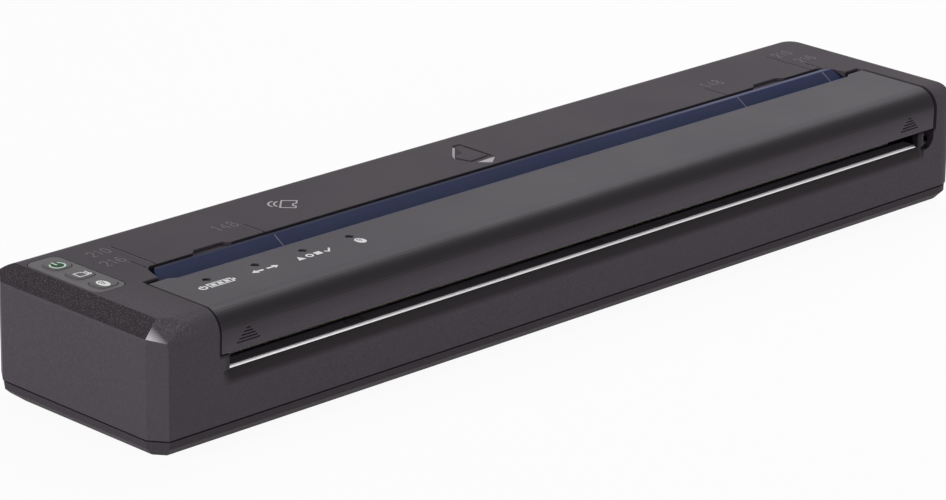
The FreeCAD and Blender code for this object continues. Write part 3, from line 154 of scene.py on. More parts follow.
# Marks, in mm: how far they stand out of a surface, how deep they reach into it, and where the rays that
# find the surface start
PRINT_RISE = 0.03
BADGE_RISE = PRINT_RISE / 2
PRINT_SINK = 0.05
RAY_START_ABOVE = 60.0
RAY_START_BELOW = -10.0

# The surfaces that carry marks: node, body and material slot
HOUSING_FACE = ("main_housing", "printer_body", "housing_grey")
COVER_FACE = ("release_cover", "cover", "cover_grey")
STRIP_FACE = ("paper_guide_strip", "cover", "strip_blue")
BAR_FACE = ("tear_bar", "printer_body", "steel_bright")
SCREW_FACE = ("case_screws", "printer_body", "steel_plate")
POWER_FACE = ("power_button", "power_key", "key_grey")
FEED_FACE = ("feed_button", "feed_key", "key_grey")
WIRELESS_FACE = ("wireless_button", "wireless_key", "key_grey")

# Generic signs: their line in mm, angles in degrees, shares of a radius or a head, and counts
SIGN_LINE = 0.42
MITRE_LIMIT = 0.6
RING_ANGLES = (125, 415)
RING_STEPS = 24
RING_BAR = (0.1, 1.25)
FAN_ANGLES = (50, 130)
FAN_RINGS = 3
FAN_STEPS = 8
ARROW_SPREAD = 0.7

# Signs on the keys, in mm
POWER_KEY_CENTRE = (-117.2, 16.8)
POWER_DISC_RADIUS = 1.75
POWER_SIGN_RADIUS = 1.65
FEED_PAGE = ((-118.3, 8.0), (-118.3, 10.3), (-116.6, 10.3), (-116.0, 9.7), (-116.0, 8.0))
FEED_ARROW = ((-115.3, 10.3), (-115.3, 7.8))
FEED_ARROW_HEAD = 0.8
FEED_ARROW_LINE = 0.28
PAGE_LINE = 0.24
WIRELESS_KEY_CENTRE = (-117.25, 1.75)
WIRELESS_BADGE_RADII = (1.25, 1.9)
WIRELESS_FAN_DROP = 1.0
WIRELESS_FAN_RADII = (1.0, 2.1)
WIRELESS_FAN_LINE = 0.22

# Signs in front of the four lamps, in mm; the row is their middle along y
LAMP_ROW = -13.9
LAMP_LOW = LAMP_ROW - 0.95
LAMP_HIGH = LAMP_ROW + 0.95
LAMP_POWER = (-103.3, LAMP_ROW - 0.1)
LAMP_POWER_RADIUS = 0.85
BATTERY_ENDS = (-101.6, -95.3)
BATTERY_LINE = 0.34
BATTERY_TIP = (-94.9, -94.4)
BATTERY_TIP_HALF = 0.45
CELL_START = -101.0
CELL_PITCH = 1.85
CELL_LENGTH = 1.25
CELL_HALF = 0.5
CELL_COUNT = 3
LAMP_ARROWS = ((-86.4, -89.6), (-85.4, -82.2))
LAMP_ARROW_HEAD = 1.35
LAMP_ARROW_LINE = 0.6
TRIANGLE_ENDS = (-77.0, -74.9, -75.95)
RING_PLACE = -73.2
RING_RADIUS = 0.75
RING_CORNERS = 16
SQUARE_ENDS = (-71.6, -69.9)
SQUARE_INSET = 0.15
TICK = ((-69.0, LAMP_ROW), (-68.2, LAMP_LOW + 0.25), (-66.8, LAMP_HIGH))
TICK_LINE = 0.45
LAMP_BADGE_CENTRE = (-58.5, -14.05)
LAMP_BADGE_RADII = (1.2, 1.6)
LAMP_FAN_DROP = 0.85
LAMP_FAN_RADII = (0.9, 1.8)
LAMP_FAN_LINE = 0.2

# Sign for touching with a phone, on the rear top
REACH_OUTER = ((-55.0, 18.1), (-56.2, 18.0), (-57.0, 17.4), (-57.5, 16.5), (-57.5, 15.4))
REACH_INNER = ((-54.3, 17.3), (-55.3, 17.15), (-56.0, 16.6), (-56.5, 15.8), (-56.6, 14.8))
REACH_DEVICE = ((-56.6, 13.9), (-53.2, 17.2), (-50.7, 14.9), (-52.0, 13.6), (-52.7, 13.9), (-53.6, 13.0),
                (-53.3, 12.3), (-54.2, 11.4))
REACH_DEVICE_LINE = 0.38

# Raised numbers beside the guide grooves: text, centre, height and how wide the digits are for it
PAPER_CENTRE = 4.2
WIDTH_LABELS = (("210", (-105.2, 17.7), 3.1, 0.68),
                ("216", (-106.6, 11.3), 3.1, 0.72),
                ("148", (-74.0, 12.6), 3.4, 0.72))
DIGIT_LINE = 0.34
LABEL_SHADOW = (0.16, 0.10)

# Guide grooves: place along x and their two ends along y
GROOVES = ((-100.8, 4.4, 19.2), (-103.8, 4.4, 9.0), (-70.05, 4.4, 11.2))
# Painted highlights beside the grooves: how far aside and how wide, in mm
GROOVE_HIGHLIGHT_SHIFT = 0.32
GROOVE_HIGHLIGHT_LINE = 0.16

# Guide lines down the strip and the painted highlight on the rim where the cover meets it
SLOPE_LINES = (-70.15, 78.55, 109.2)
SLOPE_ENDS = (-3.1, 0.7)
SLOPE_LINE = 0.26
RIM_ENDS = ((-105.2, -5.8), (113.6, -5.8))
RIM_LINE = 0.22

# Painted highlights on the centre mark's edges and painted shade along its inner edges
MARK_HIGHLIGHTS = (((1.1, 18.7), (1.8, 18.6), (-3.9, 12.8), (-3.3, 14.3)),
               ((-1.8, 7.4), (2.0, 7.6), (3.7, 7.6), (0.6, 5.1)))
MARK_SHADE_WEDGE = ((1.6, 18.2), (0.1, 14.6), (-1.9, 14.5))
MARK_SHADE_LINES = (((-2.9, 8.3), (4.4, 8.3)), ((-2.6, 10.3), (2.7, 10.3)))
MARK_SHADE_LINE = 0.3

# Painted shade outlining the recesses in the tear bar's upper face, and painted shade in the cross recesses
# of the case screws
RECESS_PLACES = (-70.3, 3.5)
RECESS_HALF = 2.3
RECESS_SIDES = (-25.3, -24.1)
RECESS_LINE = 0.2
SCREW_PLACES = ((-121.0, -20.2), (121.3, -20.2), (-110.5, 21.6), (119.6, 21.6))
CROSS_REACH = 1.1
CROSS_HALF = 0.22

# Digits as lines in a cell 1 wide and 1.6 high; True marks a closed line
DIGIT_HEIGHT = 1.6
DIGIT_STEP = 1.45
DIGIT_LINES = {
    "0": [([(0.3, 0.0), (0.7, 0.0), (1.0, 0.4), (1.0, 1.2), (0.7, 1.6), (0.3, 1.6), (0.0, 1.2), (0.0, 0.4)],
           True)],
    "1": [([(0.2, 1.25), (0.55, 1.6), (0.55, 0.0)], False)],
    "2": [([(0.0, 1.2), (0.15, 1.5), (0.5, 1.6), (0.85, 1.5), (1.0, 1.15), (0.85, 0.8), (0.0, 0.0),
            (1.0, 0.0)], False)],
    "4": [([(0.75, 0.0), (0.75, 1.6), (0.0, 0.5)], False), ([(0.0, 0.5), (1.05, 0.5)], False)],
    "6": [([(0.9, 1.4), (0.6, 1.6), (0.3, 1.5), (0.0, 0.9), (0.0, 0.4), (0.3, 0.0), (0.7, 0.0), (1.0, 0.3),
            (1.0, 0.65), (0.7, 0.95), (0.3, 0.9)], False)],
    "8": [([(0.3, 0.0), (0.7, 0.0), (1.0, 0.3), (1.0, 0.5), (0.7, 0.8), (0.3, 0.8), (0.0, 0.5), (0.0, 0.3)],
           True),
          ([(0.35, 0.86), (0.65, 0.86), (0.9, 1.1), (0.9, 1.35), (0.65, 1.6), (0.35, 1.6), (0.1, 1.35),
            (0.1, 1.1)], True)],
}

# Surroundings: lengths in metres; lamps by name, direction from the object, distance, size and watts
WORLD_LIGHT = 0.15
FLOOR_SIZE = 6.0
FLOOR_LIFT = 0.0002
FLOOR_TONE = (0.86, 0.86, 0.86, 1.0)
FLOOR_GLOW = 0.94
WHITE = (1.0, 1.0, 1.0, 1.0)
AIM = Vector((0.0, 0.0, 0.02))
LAMPS = (("key_lamp", (0.50, 0.12, 0.82), 0.75, 0.5, 3.1),
         ("left_lamp", (-0.97, 0.1, 0.2), 1.2, 0.4, 10.2),
         ("front_lamp", (0.1, -0.97, 0.2), 1.2, 0.4, 5.9))


def linear(colour):
    """Scene-linear colour of a display colour."""
    def channel(value):
        share = value / 255
        return share / 12.92 if share <= 0.04045 else ((share + 0.055) / 1.055) ** 2.4
    return (*[channel(value) for value in colour], 1.0)


def shade(colour, share):
    """The colour, darker or lighter by a share."""
    return tuple(min(255, value * share) for value in colour)


def new_material(name):
    """New node material, its tree and its surface shader."""
    material = bpy.data.materials.new(name)
    material.use_nodes = True
    tree = material.node_tree
    return material, tree, tree.nodes["Principled BSDF"]


def add(tree, kind, **values):
    """A node with some of its inputs set by name."""
    node = tree.nodes.new(kind)
    for key, value in values.items():
        node.inputs[key.replace("_", " ")].default_value = value
    return node


def noise(tree, place, scale, detail):
    """Noise in the object's own space; scale is in waves per metre."""
    node = add(tree, "ShaderNodeTexNoise", Scale=scale, Detail=detail)
    tree.links.new(place.outputs["Object"], node.inputs["Vector"])
    return node.outputs["Fac"]


def ramp(tree, source, low, high, low_value, high_value):
    """Map a value from one range to another, clamped."""
    node = tree.nodes.new("ShaderNodeMapRange")
    for slot, value in enumerate((low, high, low_value, high_value)):
        node.inputs[slot + 1].default_value = value
    tree.links.new(source, node.inputs[0])
    return node.outputs[0]


def mix_colour(tree, factor, first, second):
    """Blend of two colours by a value."""
    node = tree.nodes.new("ShaderNodeMix")
    node.data_type = "RGBA"
    for slot, value in ((6, first), (7, second)):
        if isinstance(value, tuple):
            node.inputs[slot].default_value = value
        else:
            tree.links.new(value, node.inputs[slot])
    tree.links.new(factor, node.inputs[0])
    return node.outputs[2]


def calculate(tree, operation, first, second=None):
    """Result of a sum on one or two values; the second may be a plain number."""
    node = tree.nodes.new("ShaderNodeMath")
    node.operation = operation
    tree.links.new(first, node.inputs[0])
    if isinstance(second, float):
        node.inputs[1].default_value = second
    elif second is not None:
        tree.links.new(second, node.inputs[1])
    return node.outputs[0]


def product(tree, first, second):
    """Product of two values."""
    return calculate(tree, "MULTIPLY", first, second)


def edge_mask(tree, radius):
    """A normal rounded at edges, and a mask that is one along outer edges and nought on flat faces."""
    bevel = add(tree, "ShaderNodeBevel", Radius=radius)
    bevel.samples = 4
    face = tree.nodes.new("ShaderNodeNewGeometry")
    dot = tree.nodes.new("ShaderNodeVectorMath")
    dot.operation = "DOT_PRODUCT"
    tree.links.new(bevel.outputs[0], dot.inputs[0])
    tree.links.new(face.outputs["True Normal"], dot.inputs[1])
    return bevel.outputs[0], ramp(tree, dot.outputs["Value"], 0.999, 0.86, 0.0, 1.0)


def facing(tree, normal, low, high):
    """One where the face looks along a direction, in the object's own space; low and high are cosines."""
    face = tree.nodes.new("ShaderNodeNewGeometry")
    turn = tree.nodes.new("ShaderNodeVectorTransform")
    turn.vector_type = "NORMAL"
    turn.convert_from = "WORLD"
    turn.convert_to = "OBJECT"
    tree.links.new(face.outputs["True Normal"], turn.inputs[0])
    dot = tree.nodes.new("ShaderNodeVectorMath")
    dot.operation = "DOT_PRODUCT"
    tree.links.new(turn.outputs[0], dot.inputs[0])
    dot.inputs[1].default_value = normal
    return ramp(tree, dot.outputs["Value"], low, high, 0.0, 1.0)


def along(tree, place, axis, start, full):
    """Nought to one between two places along an axis, in mm."""
    split = tree.nodes.new("ShaderNodeSeparateXYZ")
    tree.links.new(place.outputs["Object"], split.inputs[0])
    return ramp(tree, split.outputs[axis], start * MM, full * MM, 0.0, 1.0)


def zone(tree, place, edges):
    """One where the place is inside all of the edges."""
    mask = along(tree, place, *edges[0])
    for edge in edges[1:]:
        mask = product(tree, mask, along(tree, place, *edge))
    return mask


def corner_facet_highlight(tree, place):
    """Painted highlight on the small facet at the casing's front left corner."""
    return product(tree, facing(tree, FACET_NORMAL, 0.985, 0.995), along(tree, place, *FACET_EDGE))


def left_bevel(tree, place):
    """The sloped border along the casing's left end."""
    return facing(tree, BEVEL_NORMAL, 0.965, 0.985)


def opening_seam(tree, place):
    """The casing's wall round the cover, which lies in the seam's shadow."""
    return zone(tree, place, SEAM_EDGES)


def scoop_shadow(tree, place):
    """Painted shade in the hollow under the tear bar."""
    return zone(tree, place, SCOOP_EDGES)


def bend_foot(tree, place):
    """Shade that fades down the cover's front below the rounded edge."""
    return zone(tree, place, BEND_FOOT_EDGES)


def cover_bend_shade(tree, place):
    """Painted shade on the rounded front edge of the cover, which gets the least light."""
    return facing(tree, BEND_NORMAL, 0.83, 0.97)


def grip_shadow(tree, place):
    """Painted shadow on the floors of the grip marks' grooves."""
    return zone(tree, place, GRIP_EDGES)


def strip_crest(tree, place):
    """The flat crest behind the strip's slope."""
    return along(tree, place, *CREST_EDGE)


def strip_crest_highlight(tree, place):
    """Painted highlight on the crest's right end."""
    return zone(tree, place, (CREST_EDGE, CREST_HIGHLIGHT_EDGE))


def heat_line(tree, place):
    """The glazed bead of the heating line, under the roller."""
    return zone(tree, place, HEAT_LINE_EDGES)


def head_traces(tree, place):
    """Fine conductors that run from the heating line to the drivers."""
    split = tree.nodes.new("ShaderNodeSeparateXYZ")
    tree.links.new(place.outputs["Object"], split.inputs[0])
    turns = calculate(tree, "MULTIPLY", split.outputs[X], 2 * math.pi / (TRACE_PITCH * MM))
    wave = calculate(tree, "SINE", turns)
    return product(tree, zone(tree, place, TRACE_EDGES), ramp(tree, wave, -0.2, 0.2, 0.25, 1.0))


def driver_zone(tree, place):
    """The resin cover over the drivers."""
    return along(tree, place, *DRIVER_EDGE)


def moulded(name, colour, roughness=0.5, grain=2600.0, grain_share=0.10, bump=0.012, edge=0.25, wear=0.10,
            specular=0.05, sparkle=0.0, patches=()):
    """Moulded plastic: fine grain, slow colour drift, softened edges that are worn a little lighter."""
    material, tree, shader = new_material(name)
    place = tree.nodes.new("ShaderNodeTexCoord")
    fine = noise(tree, place, grain, 1.0)
    slow = noise(tree, place, DRIFT_WAVES, 3.0)
    normal, edges = edge_mask(tree, edge * MM)
    speck = mix_colour(tree, ramp(tree, fine, *GRAIN_SPAN, 0.0, 1.0),
                       linear(shade(colour, 1 - grain_share)), linear(shade(colour, 1 + grain_share)))
    drift = ramp(tree, slow, *NOISE_SPAN, 0.0, DRIFT_SHARE)
    tone = mix_colour(tree, drift, speck, linear(shade(colour, DRIFT_GAIN)))
    # Patches: painted shade and painted highlights on the casings and the strip, real zones on the print head
    for patch_colour, make_mask in patches:
        tone = mix_colour(tree, make_mask(tree, place), tone, linear(patch_colour))
    if sparkle:
        flakes = ramp(tree, noise(tree, place, FLAKE_WAVES, 0.0), *FLAKE_SPAN, 0.0, sparkle)
        spots = product(tree, flakes, zone(tree, place, SPARKLE_EDGES))
        tone = mix_colour(tree, spots, tone, linear(shade(colour, FLAKE_GAIN)))
    worn_share = ramp(tree, edges, 0.0, 1.0, 0.0, wear * 4)
    worn = mix_colour(tree, worn_share, tone, linear(shade(colour, WORN_GAIN)))
    tree.links.new(worn, shader.inputs["Base Color"])
    tree.links.new(ramp(tree, slow, *NOISE_SPAN, roughness - 0.04, roughness + 0.05),
                   shader.inputs["Roughness"])
    relief = add(tree, "ShaderNodeBump", Strength=1.0, Distance=bump * MM)
    tree.links.new(fine, relief.inputs["Height"])
    tree.links.new(normal, relief.inputs["Normal"])
    tree.links.new(relief.outputs[0], shader.inputs["Normal"])
    shader.inputs["Specular IOR Level"].default_value = specular
    return material


def metal(name, colour, roughness, stretch=DRAWN_ALONG_X):
    """Bright or plated metal with fine drawn lines."""
    material, tree, shader = new_material(name)
    place = tree.nodes.new("ShaderNodeTexCoord")
    turn = tree.nodes.new("ShaderNodeMapping")
    turn.inputs["Scale"].default_value = stretch
    tree.links.new(place.outputs["Object"], turn.inputs["Vector"])
    texture = add(tree, "ShaderNodeTexNoise", Scale=SCRATCH_WAVES, Detail=3.0)
    tree.links.new(turn.outputs[0], texture.inputs["Vector"])
    lines = texture.outputs["Fac"]
    dark, light = [linear(shade(colour, gain)) for gain in METAL_GAINS]
    tree.links.new(mix_colour(tree, lines, dark, light), shader.inputs["Base Color"])
    tree.links.new(ramp(tree, lines, *NOISE_SPAN, roughness - 0.08, roughness + 0.08),
                   shader.inputs["Roughness"])
    normal, _ = edge_mask(tree, METAL_EDGE * MM)
    relief = add(tree, "ShaderNodeBump", Strength=0.6, Distance=METAL_RELIEF * MM)
    tree.links.new(lines, relief.inputs["Height"])
    tree.links.new(normal, relief.inputs["Normal"])
    tree.links.new(relief.outputs[0], shader.inputs["Normal"])
    shader.inputs["Metallic"].default_value = 1.0
    return material


def cutter_steel(name):
    """Bright steel edge whose upper face, in the exit's shade, is painted a dull non-metal grey in place of
    its dark reflection.
    """
    material = metal(name, CUTTER, roughness=0.32)
    tree = material.node_tree
    shader = tree.nodes["Principled BSDF"]
    # painted tone: the upward face loses its metal and takes a dull grey
    top = facing(tree, UP, 0.93, 0.98)
    bright = shader.inputs["Base Color"].links[0].from_socket
    tree.links.new(mix_colour(tree, top, bright, linear(BAR_TOP_SHADE_TONE)), shader.inputs["Base Color"])
    tree.links.new(ramp(tree, top, 0.0, 1.0, 1.0, 0.0), shader.inputs["Metallic"])
    return material


def ink(name, colour):
    """Printed ink with slightly uneven cover."""
    material, tree, shader = new_material(name)
    place = tree.nodes.new("ShaderNodeTexCoord")
    patch = noise(tree, place, INK_WAVES, 2.0)
    dark, light = [linear(shade(colour, gain)) for gain in INK_GAINS]
    tree.links.new(mix_colour(tree, patch, dark, light), shader.inputs["Base Color"])
    tree.links.new(ramp(tree, patch, *NOISE_SPAN, INK_ROUGHNESS - 0.05, INK_ROUGHNESS + 0.05),
                   shader.inputs["Roughness"])
    shader.inputs["Specular IOR Level"].default_value = 0.1
    return material


def clear_lens(name):
    """Smoky clear plastic of the light pipes."""
    material, tree, shader = new_material(name)
    place = tree.nodes.new("ShaderNodeTexCoord")
    cloud = noise(tree, place, LENS_WAVES, 2.0)
    tone = mix_colour(tree, cloud, linear(LENS_DARK), linear(LENS_LIGHT))
    tree.links.new(tone, shader.inputs["Base Color"])
    tree.links.new(ramp(tree, cloud, *NOISE_SPAN, 0.10, 0.16), shader.inputs["Roughness"])
    shader.inputs["Specular IOR Level"].default_value = 0.15
    shader.inputs["Coat Weight"].default_value = 0.05
    return material


def set_material(material, *names):
    """Give each CAD node the material."""
    for name in names:
        data = nodes[name].data
        data.materials.clear()
        data.materials.append(material)


def dress_casings():
    """Materials of the outer plastic pieces."""
    # Painted highlight on the corner facet and painted shade in the scoop and the seam, beside the bevel's
    # darker tone
    housing_patches = ((BEVEL, left_bevel), (FACET_HIGHLIGHT, corner_facet_highlight), (SCOOP_SHADE, scoop_shadow),
                       (DEEP_SHADOW, opening_seam))
    set_material(moulded("housing_plastic", HOUSING, grain_share=0.05, bump=0.006, sparkle=0.22,
                         patches=housing_patches), "main_housing")
    # Painted shade down the cover's bend and in the grip grooves
    cover_patches = ((BEND_FOOT, bend_foot), (BEND_SHADE, cover_bend_shade), (DEEP_SHADOW, grip_shadow))
    set_material(moulded("cover_plastic", COVER, roughness=0.46, grain_share=0.04, bump=0.006, specular=0.12,
                         patches=cover_patches), "release_cover")
    set_material(moulded("panel_plastic", PANEL, roughness=0.42, grain_share=0.03, bump=0.004, specular=0.15),
                 "button_panel")
    set_material(moulded("key_plastic", KEY, roughness=0.42, grain_share=0.03, bump=0.004, edge=0.5,
                         specular=0.15), "power_button", "feed_button", "wireless_button")
    set_material(moulded("base_plastic", BASE, roughness=0.55, grain_share=0.06, bump=0.006), "base_case")
    # Painted highlight on the strip crest's right end
    strip_patches = ((STRIP_CREST, strip_crest), (STRIP_CREST_HIGHLIGHT, strip_crest_highlight))
    set_material(moulded("strip_plastic", STRIP, roughness=0.40, grain_share=0.05, bump=0.005, edge=0.3,
                         wear=0.2, specular=0.03, patches=strip_patches), "paper_guide_strip")
    set_material(moulded("exit_plastic", EXIT, roughness=0.5, grain_share=0.06), "exit_guide")
    set_material(clear_lens("lens_plastic"), "led_lenses")
    set_material(moulded("feet_rubber", FEET, roughness=0.8, grain=1500.0), "rubber_feet")


def dress_metals():
    """Materials of the metal pieces."""
    set_material(cutter_steel("tear_steel"), "tear_bar")
    set_material(metal("bright_steel", BRIGHT_STEEL, roughness=0.25),
                 "platen_shaft", "hinge_pins", "head_pivot_pins", "gear_posts", "head_springs")
    set_material(metal("plated_steel", PLATED_STEEL, roughness=0.38, stretch=DRAWN_ALONG_Z),
                 "left_frame", "right_frame", "drive_motor", "usb_port", "case_screws", "motor_screws")
    set_material(metal("pinion_brass", BRASS, roughness=0.3), "motor_pinion")
    set_material(metal("extruded_aluminium", ALUMINIUM, roughness=0.4), "heat_sink")


def dress_inside():
    """Materials of the mechanism and the electric pieces."""
    set_material(moulded("inner_plastic", BLACK, roughness=0.6, grain_share=0.08),
                 "cover_inner_guide", "feed_guide", "platen_bushes", "tact_switches", "paper_sensor")
    set_material(moulded("gear_acetal", ACETAL, roughness=0.38, grain_share=0.02, bump=0.003, specular=0.3),
                 "platen_gear", "idler_gear", "reduction_gear")
    head_patches = ((HEAT_LINE, heat_line), (TRACES, head_traces), (DRIVER_RESIN, driver_zone))
    set_material(moulded("head_ceramic", CERAMIC, roughness=0.3, grain_share=0.02, specular=0.4,
                         patches=head_patches), "print_head")
    set_material(moulded("roller_rubber", ROLLER, roughness=0.75, grain=1800.0, grain_share=0.12, bump=0.02,
                         specular=0.2), "platen_rubber")
    set_material(moulded("board_mask", BOARD, roughness=0.35, grain=700.0, grain_share=0.06, specular=0.4),
                 "main_board", "led_board", "button_board")
    set_material(moulded("socket_plastic", SOCKET, roughness=0.45, specular=0.3), "board_connectors")
    set_material(moulded("battery_sleeve", SLEEVE, roughness=0.3, grain_share=0.03, specular=0.4),
                 "battery_pack")


def arc(centre, radii, start, end, count):
    """Open line along an oval between two angles in degrees."""
    steps = [math.radians(start + (end - start) * i / count) for i in range(count + 1)]
    return [(centre[0] + radii[0] * math.cos(a), centre[1] + radii[1] * math.sin(a)) for a in steps]


def oval(centre, radii, count=36):
    """Closed loop round a centre."""
    steps = [2 * math.pi * i / count for i in range(count)]
    return [(centre[0] + radii[0] * math.cos(a), centre[1] + radii[1] * math.sin(a)) for a in steps]


def rectangle(left, right, low, high):
    """Closed loop with four corners."""
    return [(left, low), (right, low), (right, high), (left, high)]


def offset(points, distance, closed):
    """The line moved sideways, with mitred corners."""
    result = []
    last = len(points) - 1
    for i, point in enumerate(points):
        runs = []
        if closed or i > 0:
            runs.append(Vector(point) - Vector(points[i - 1]))
        if closed or i < last:
            runs.append(Vector(points[(i + 1) % len(points)]) - Vector(point))
        sides = [Vector((-run.y, run.x)).normalized() for run in runs]
        mean = sum(sides, Vector((0.0, 0.0))).normalized()
        cosine = max(MITRE_LIMIT, mean.dot(sides[0]))
        result.append(tuple(Vector(point) + mean * distance / cosine))
    return result


def stroke(points, width, closed=False):
    """Loops of a drawn line: one round an open line, two round a closed one."""
    left = offset(points, width / 2, closed)
    right = offset(points, -width / 2, closed)
    if closed:
        return [left, right[::-1]]
    return [left + right[::-1]]


def sheets(name, shapes, face, material, rise=PRINT_RISE, below=False):
    """Thin closed sheets on a node's upper or lower face; each shape is an outline and its holes, in mm."""
    node, body, slot = face
    tree = BVHTree.FromObject(nodes[node], bpy.context.evaluated_depsgraph_get())
    side = -1 if below else 1
    start_z = (RAY_START_BELOW if below else RAY_START_ABOVE) * MM
    form = bmesh.new()
    for loops in shapes:
        flat = [[Vector((x * MM, y * MM, 0.0)) for x, y in loop] for loop in loops]
        outer, inner = [], []
        for point in [point for loop in flat for point in loop]:
            hit = tree.ray_cast(Vector((point.x, point.y, start_z)), Vector((0, 0, -side)))[0]
            outer.append(form.verts.new((point.x, point.y, hit.z + side * rise * MM)))
            inner.append(form.verts.new((point.x, point.y, hit.z - side * PRINT_SINK * MM)))
        for triangle in tessellate_polygon(flat):
            form.faces.new([outer[i] for i in triangle])
            form.faces.new([inner[i] for i in reversed(triangle)])
        first = 0
        for loop in flat:
            for i in range(len(loop)):
                a, b = first + i, first + (i + 1) % len(loop)
                form.faces.new((outer[a], outer[b], inner[b], inner[a]))
            first += len(loop)
    bmesh.ops.recalc_face_normals(form, faces=form.faces)
    mesh = bpy.data.meshes.new(name)
    form.to_mesh(mesh)
    form.free()
    mesh.materials.append(material)
    piece = bpy.data.objects.new(name, mesh)
    bpy.context.scene.collection.objects.link(piece)
    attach(piece, body)


def power_sign(centre, radius):
    """Ring open towards the rear with a bar in the gap."""
    ring = arc(centre, (radius, radius), *RING_ANGLES, RING_STEPS)
    bar = [(centre[0], centre[1] + radius * share) for share in RING_BAR]
    return [stroke(ring, SIGN_LINE), stroke(bar, SIGN_LINE)]


def fan_sign(centre, drop, radii, width):
    """Widening arcs above a point below the centre, the generic sign of a radio link."""
    foot = (centre[0], centre[1] - drop)
    shapes = []
    for ring in range(FAN_RINGS):
        share = (ring + 1) / FAN_RINGS
        line = arc(foot, (radii[0] * share, radii[1] * share), *FAN_ANGLES, FAN_STEPS)
        shapes.append(stroke(line, width))
    return shapes


def arrow(start, end, head, width):
    """Straight arrow as one outline."""
    begin, tip = Vector(start), Vector(end)
    run = (tip - begin).normalized()
    side = Vector((-run.y, run.x))
    neck = tip - run * head
    points = [begin + side * width / 2, neck + side * width / 2, neck + side * head * ARROW_SPREAD, tip,
              neck - side * head * ARROW_SPREAD, neck - side * width / 2, begin - side * width / 2]
    return [[tuple(point) for point in points]]


def number(text, centre, height, stretch):
    """Shapes of a number in stroked digits, centred on a place."""
    scale = height / DIGIT_HEIGHT
    total = (DIGIT_STEP * (len(text) - 1) + 1.0) * scale * stretch
    low = centre[1] - height / 2
    shapes = []
    for i, digit in enumerate(text):
        left = centre[0] - total / 2 + DIGIT_STEP * i * scale * stretch
        for points, closed in DIGIT_LINES[digit]:
            placed = [(left + x * scale * stretch, low + y * scale) for x, y in points]
            shapes.append(stroke(placed, DIGIT_LINE, closed))
    return shapes


def battery_sign():
    """Battery outline with its tip and three cells."""
    shapes = [stroke(rectangle(*BATTERY_ENDS, LAMP_LOW, LAMP_HIGH), BATTERY_LINE, True)]
    shapes.append([rectangle(*BATTERY_TIP, LAMP_ROW - BATTERY_TIP_HALF, LAMP_ROW + BATTERY_TIP_HALF)])
    for i in range(CELL_COUNT):
        left = CELL_START + CELL_PITCH * i
        shapes.append([rectangle(left, left + CELL_LENGTH, LAMP_ROW - CELL_HALF, LAMP_ROW + CELL_HALF)])
    return shapes


def state_signs():
    """Triangle, ring, square and tick."""
    left, right, top = TRIANGLE_ENDS
    shapes = [[[(left, LAMP_LOW), (right, LAMP_LOW), (top, LAMP_HIGH)]]]
    ring = oval((RING_PLACE, LAMP_ROW), (RING_RADIUS, RING_RADIUS), RING_CORNERS)
    shapes.append(stroke(ring, SIGN_LINE, True))
    shapes.append([rectangle(*SQUARE_ENDS, LAMP_LOW + SQUARE_INSET, LAMP_HIGH - SQUARE_INSET)])
    shapes.append(stroke(TICK, TICK_LINE))
    return shapes


def lamp_legends(white, dark):
    """Signs in front of the four lamps."""
    shapes = power_sign(LAMP_POWER, LAMP_POWER_RADIUS) + battery_sign()
    for start, end in LAMP_ARROWS:
        shapes.append(arrow((start, LAMP_ROW), (end, LAMP_ROW), LAMP_ARROW_HEAD, LAMP_ARROW_LINE))
    sheets("lamp_signs", shapes + state_signs(), COVER_FACE, white)
    sheets("lamp_badge", [[oval(LAMP_BADGE_CENTRE, LAMP_BADGE_RADII)]], COVER_FACE, white, rise=BADGE_RISE)
    fan = fan_sign(LAMP_BADGE_CENTRE, LAMP_FAN_DROP, LAMP_FAN_RADII, LAMP_FAN_LINE)
    sheets("lamp_badge_sign", fan, COVER_FACE, dark)


def key_marks(white, green, dark):
    """Signs on the three buttons."""
    disc = oval(POWER_KEY_CENTRE, (POWER_DISC_RADIUS, POWER_DISC_RADIUS))
    sheets("power_disc", [[disc]], POWER_FACE, dark, rise=BADGE_RISE)
    sheets("power_sign", power_sign(POWER_KEY_CENTRE, POWER_SIGN_RADIUS), POWER_FACE, green)
    feed = [stroke(FEED_PAGE, PAGE_LINE, True), arrow(*FEED_ARROW, FEED_ARROW_HEAD, FEED_ARROW_LINE)]
    sheets("feed_sign", feed, FEED_FACE, white)
    badge = oval(WIRELESS_KEY_CENTRE, WIRELESS_BADGE_RADII)
    sheets("wireless_badge", [[badge]], WIRELESS_FACE, white, rise=BADGE_RISE)
    fan = fan_sign(WIRELESS_KEY_CENTRE, WIRELESS_FAN_DROP, WIRELESS_FAN_RADII, WIRELESS_FAN_LINE)
    sheets("wireless_sign", fan, WIRELESS_FACE, dark)


def reach_mark(grey):
    """Sign for touching with a phone: two arcs beside a small device."""
    shapes = [stroke(REACH_OUTER, SIGN_LINE), stroke(REACH_INNER, SIGN_LINE),
              stroke(REACH_DEVICE, REACH_DEVICE_LINE, True)]
    sheets("reach_mark", shapes, HOUSING_FACE, grey)


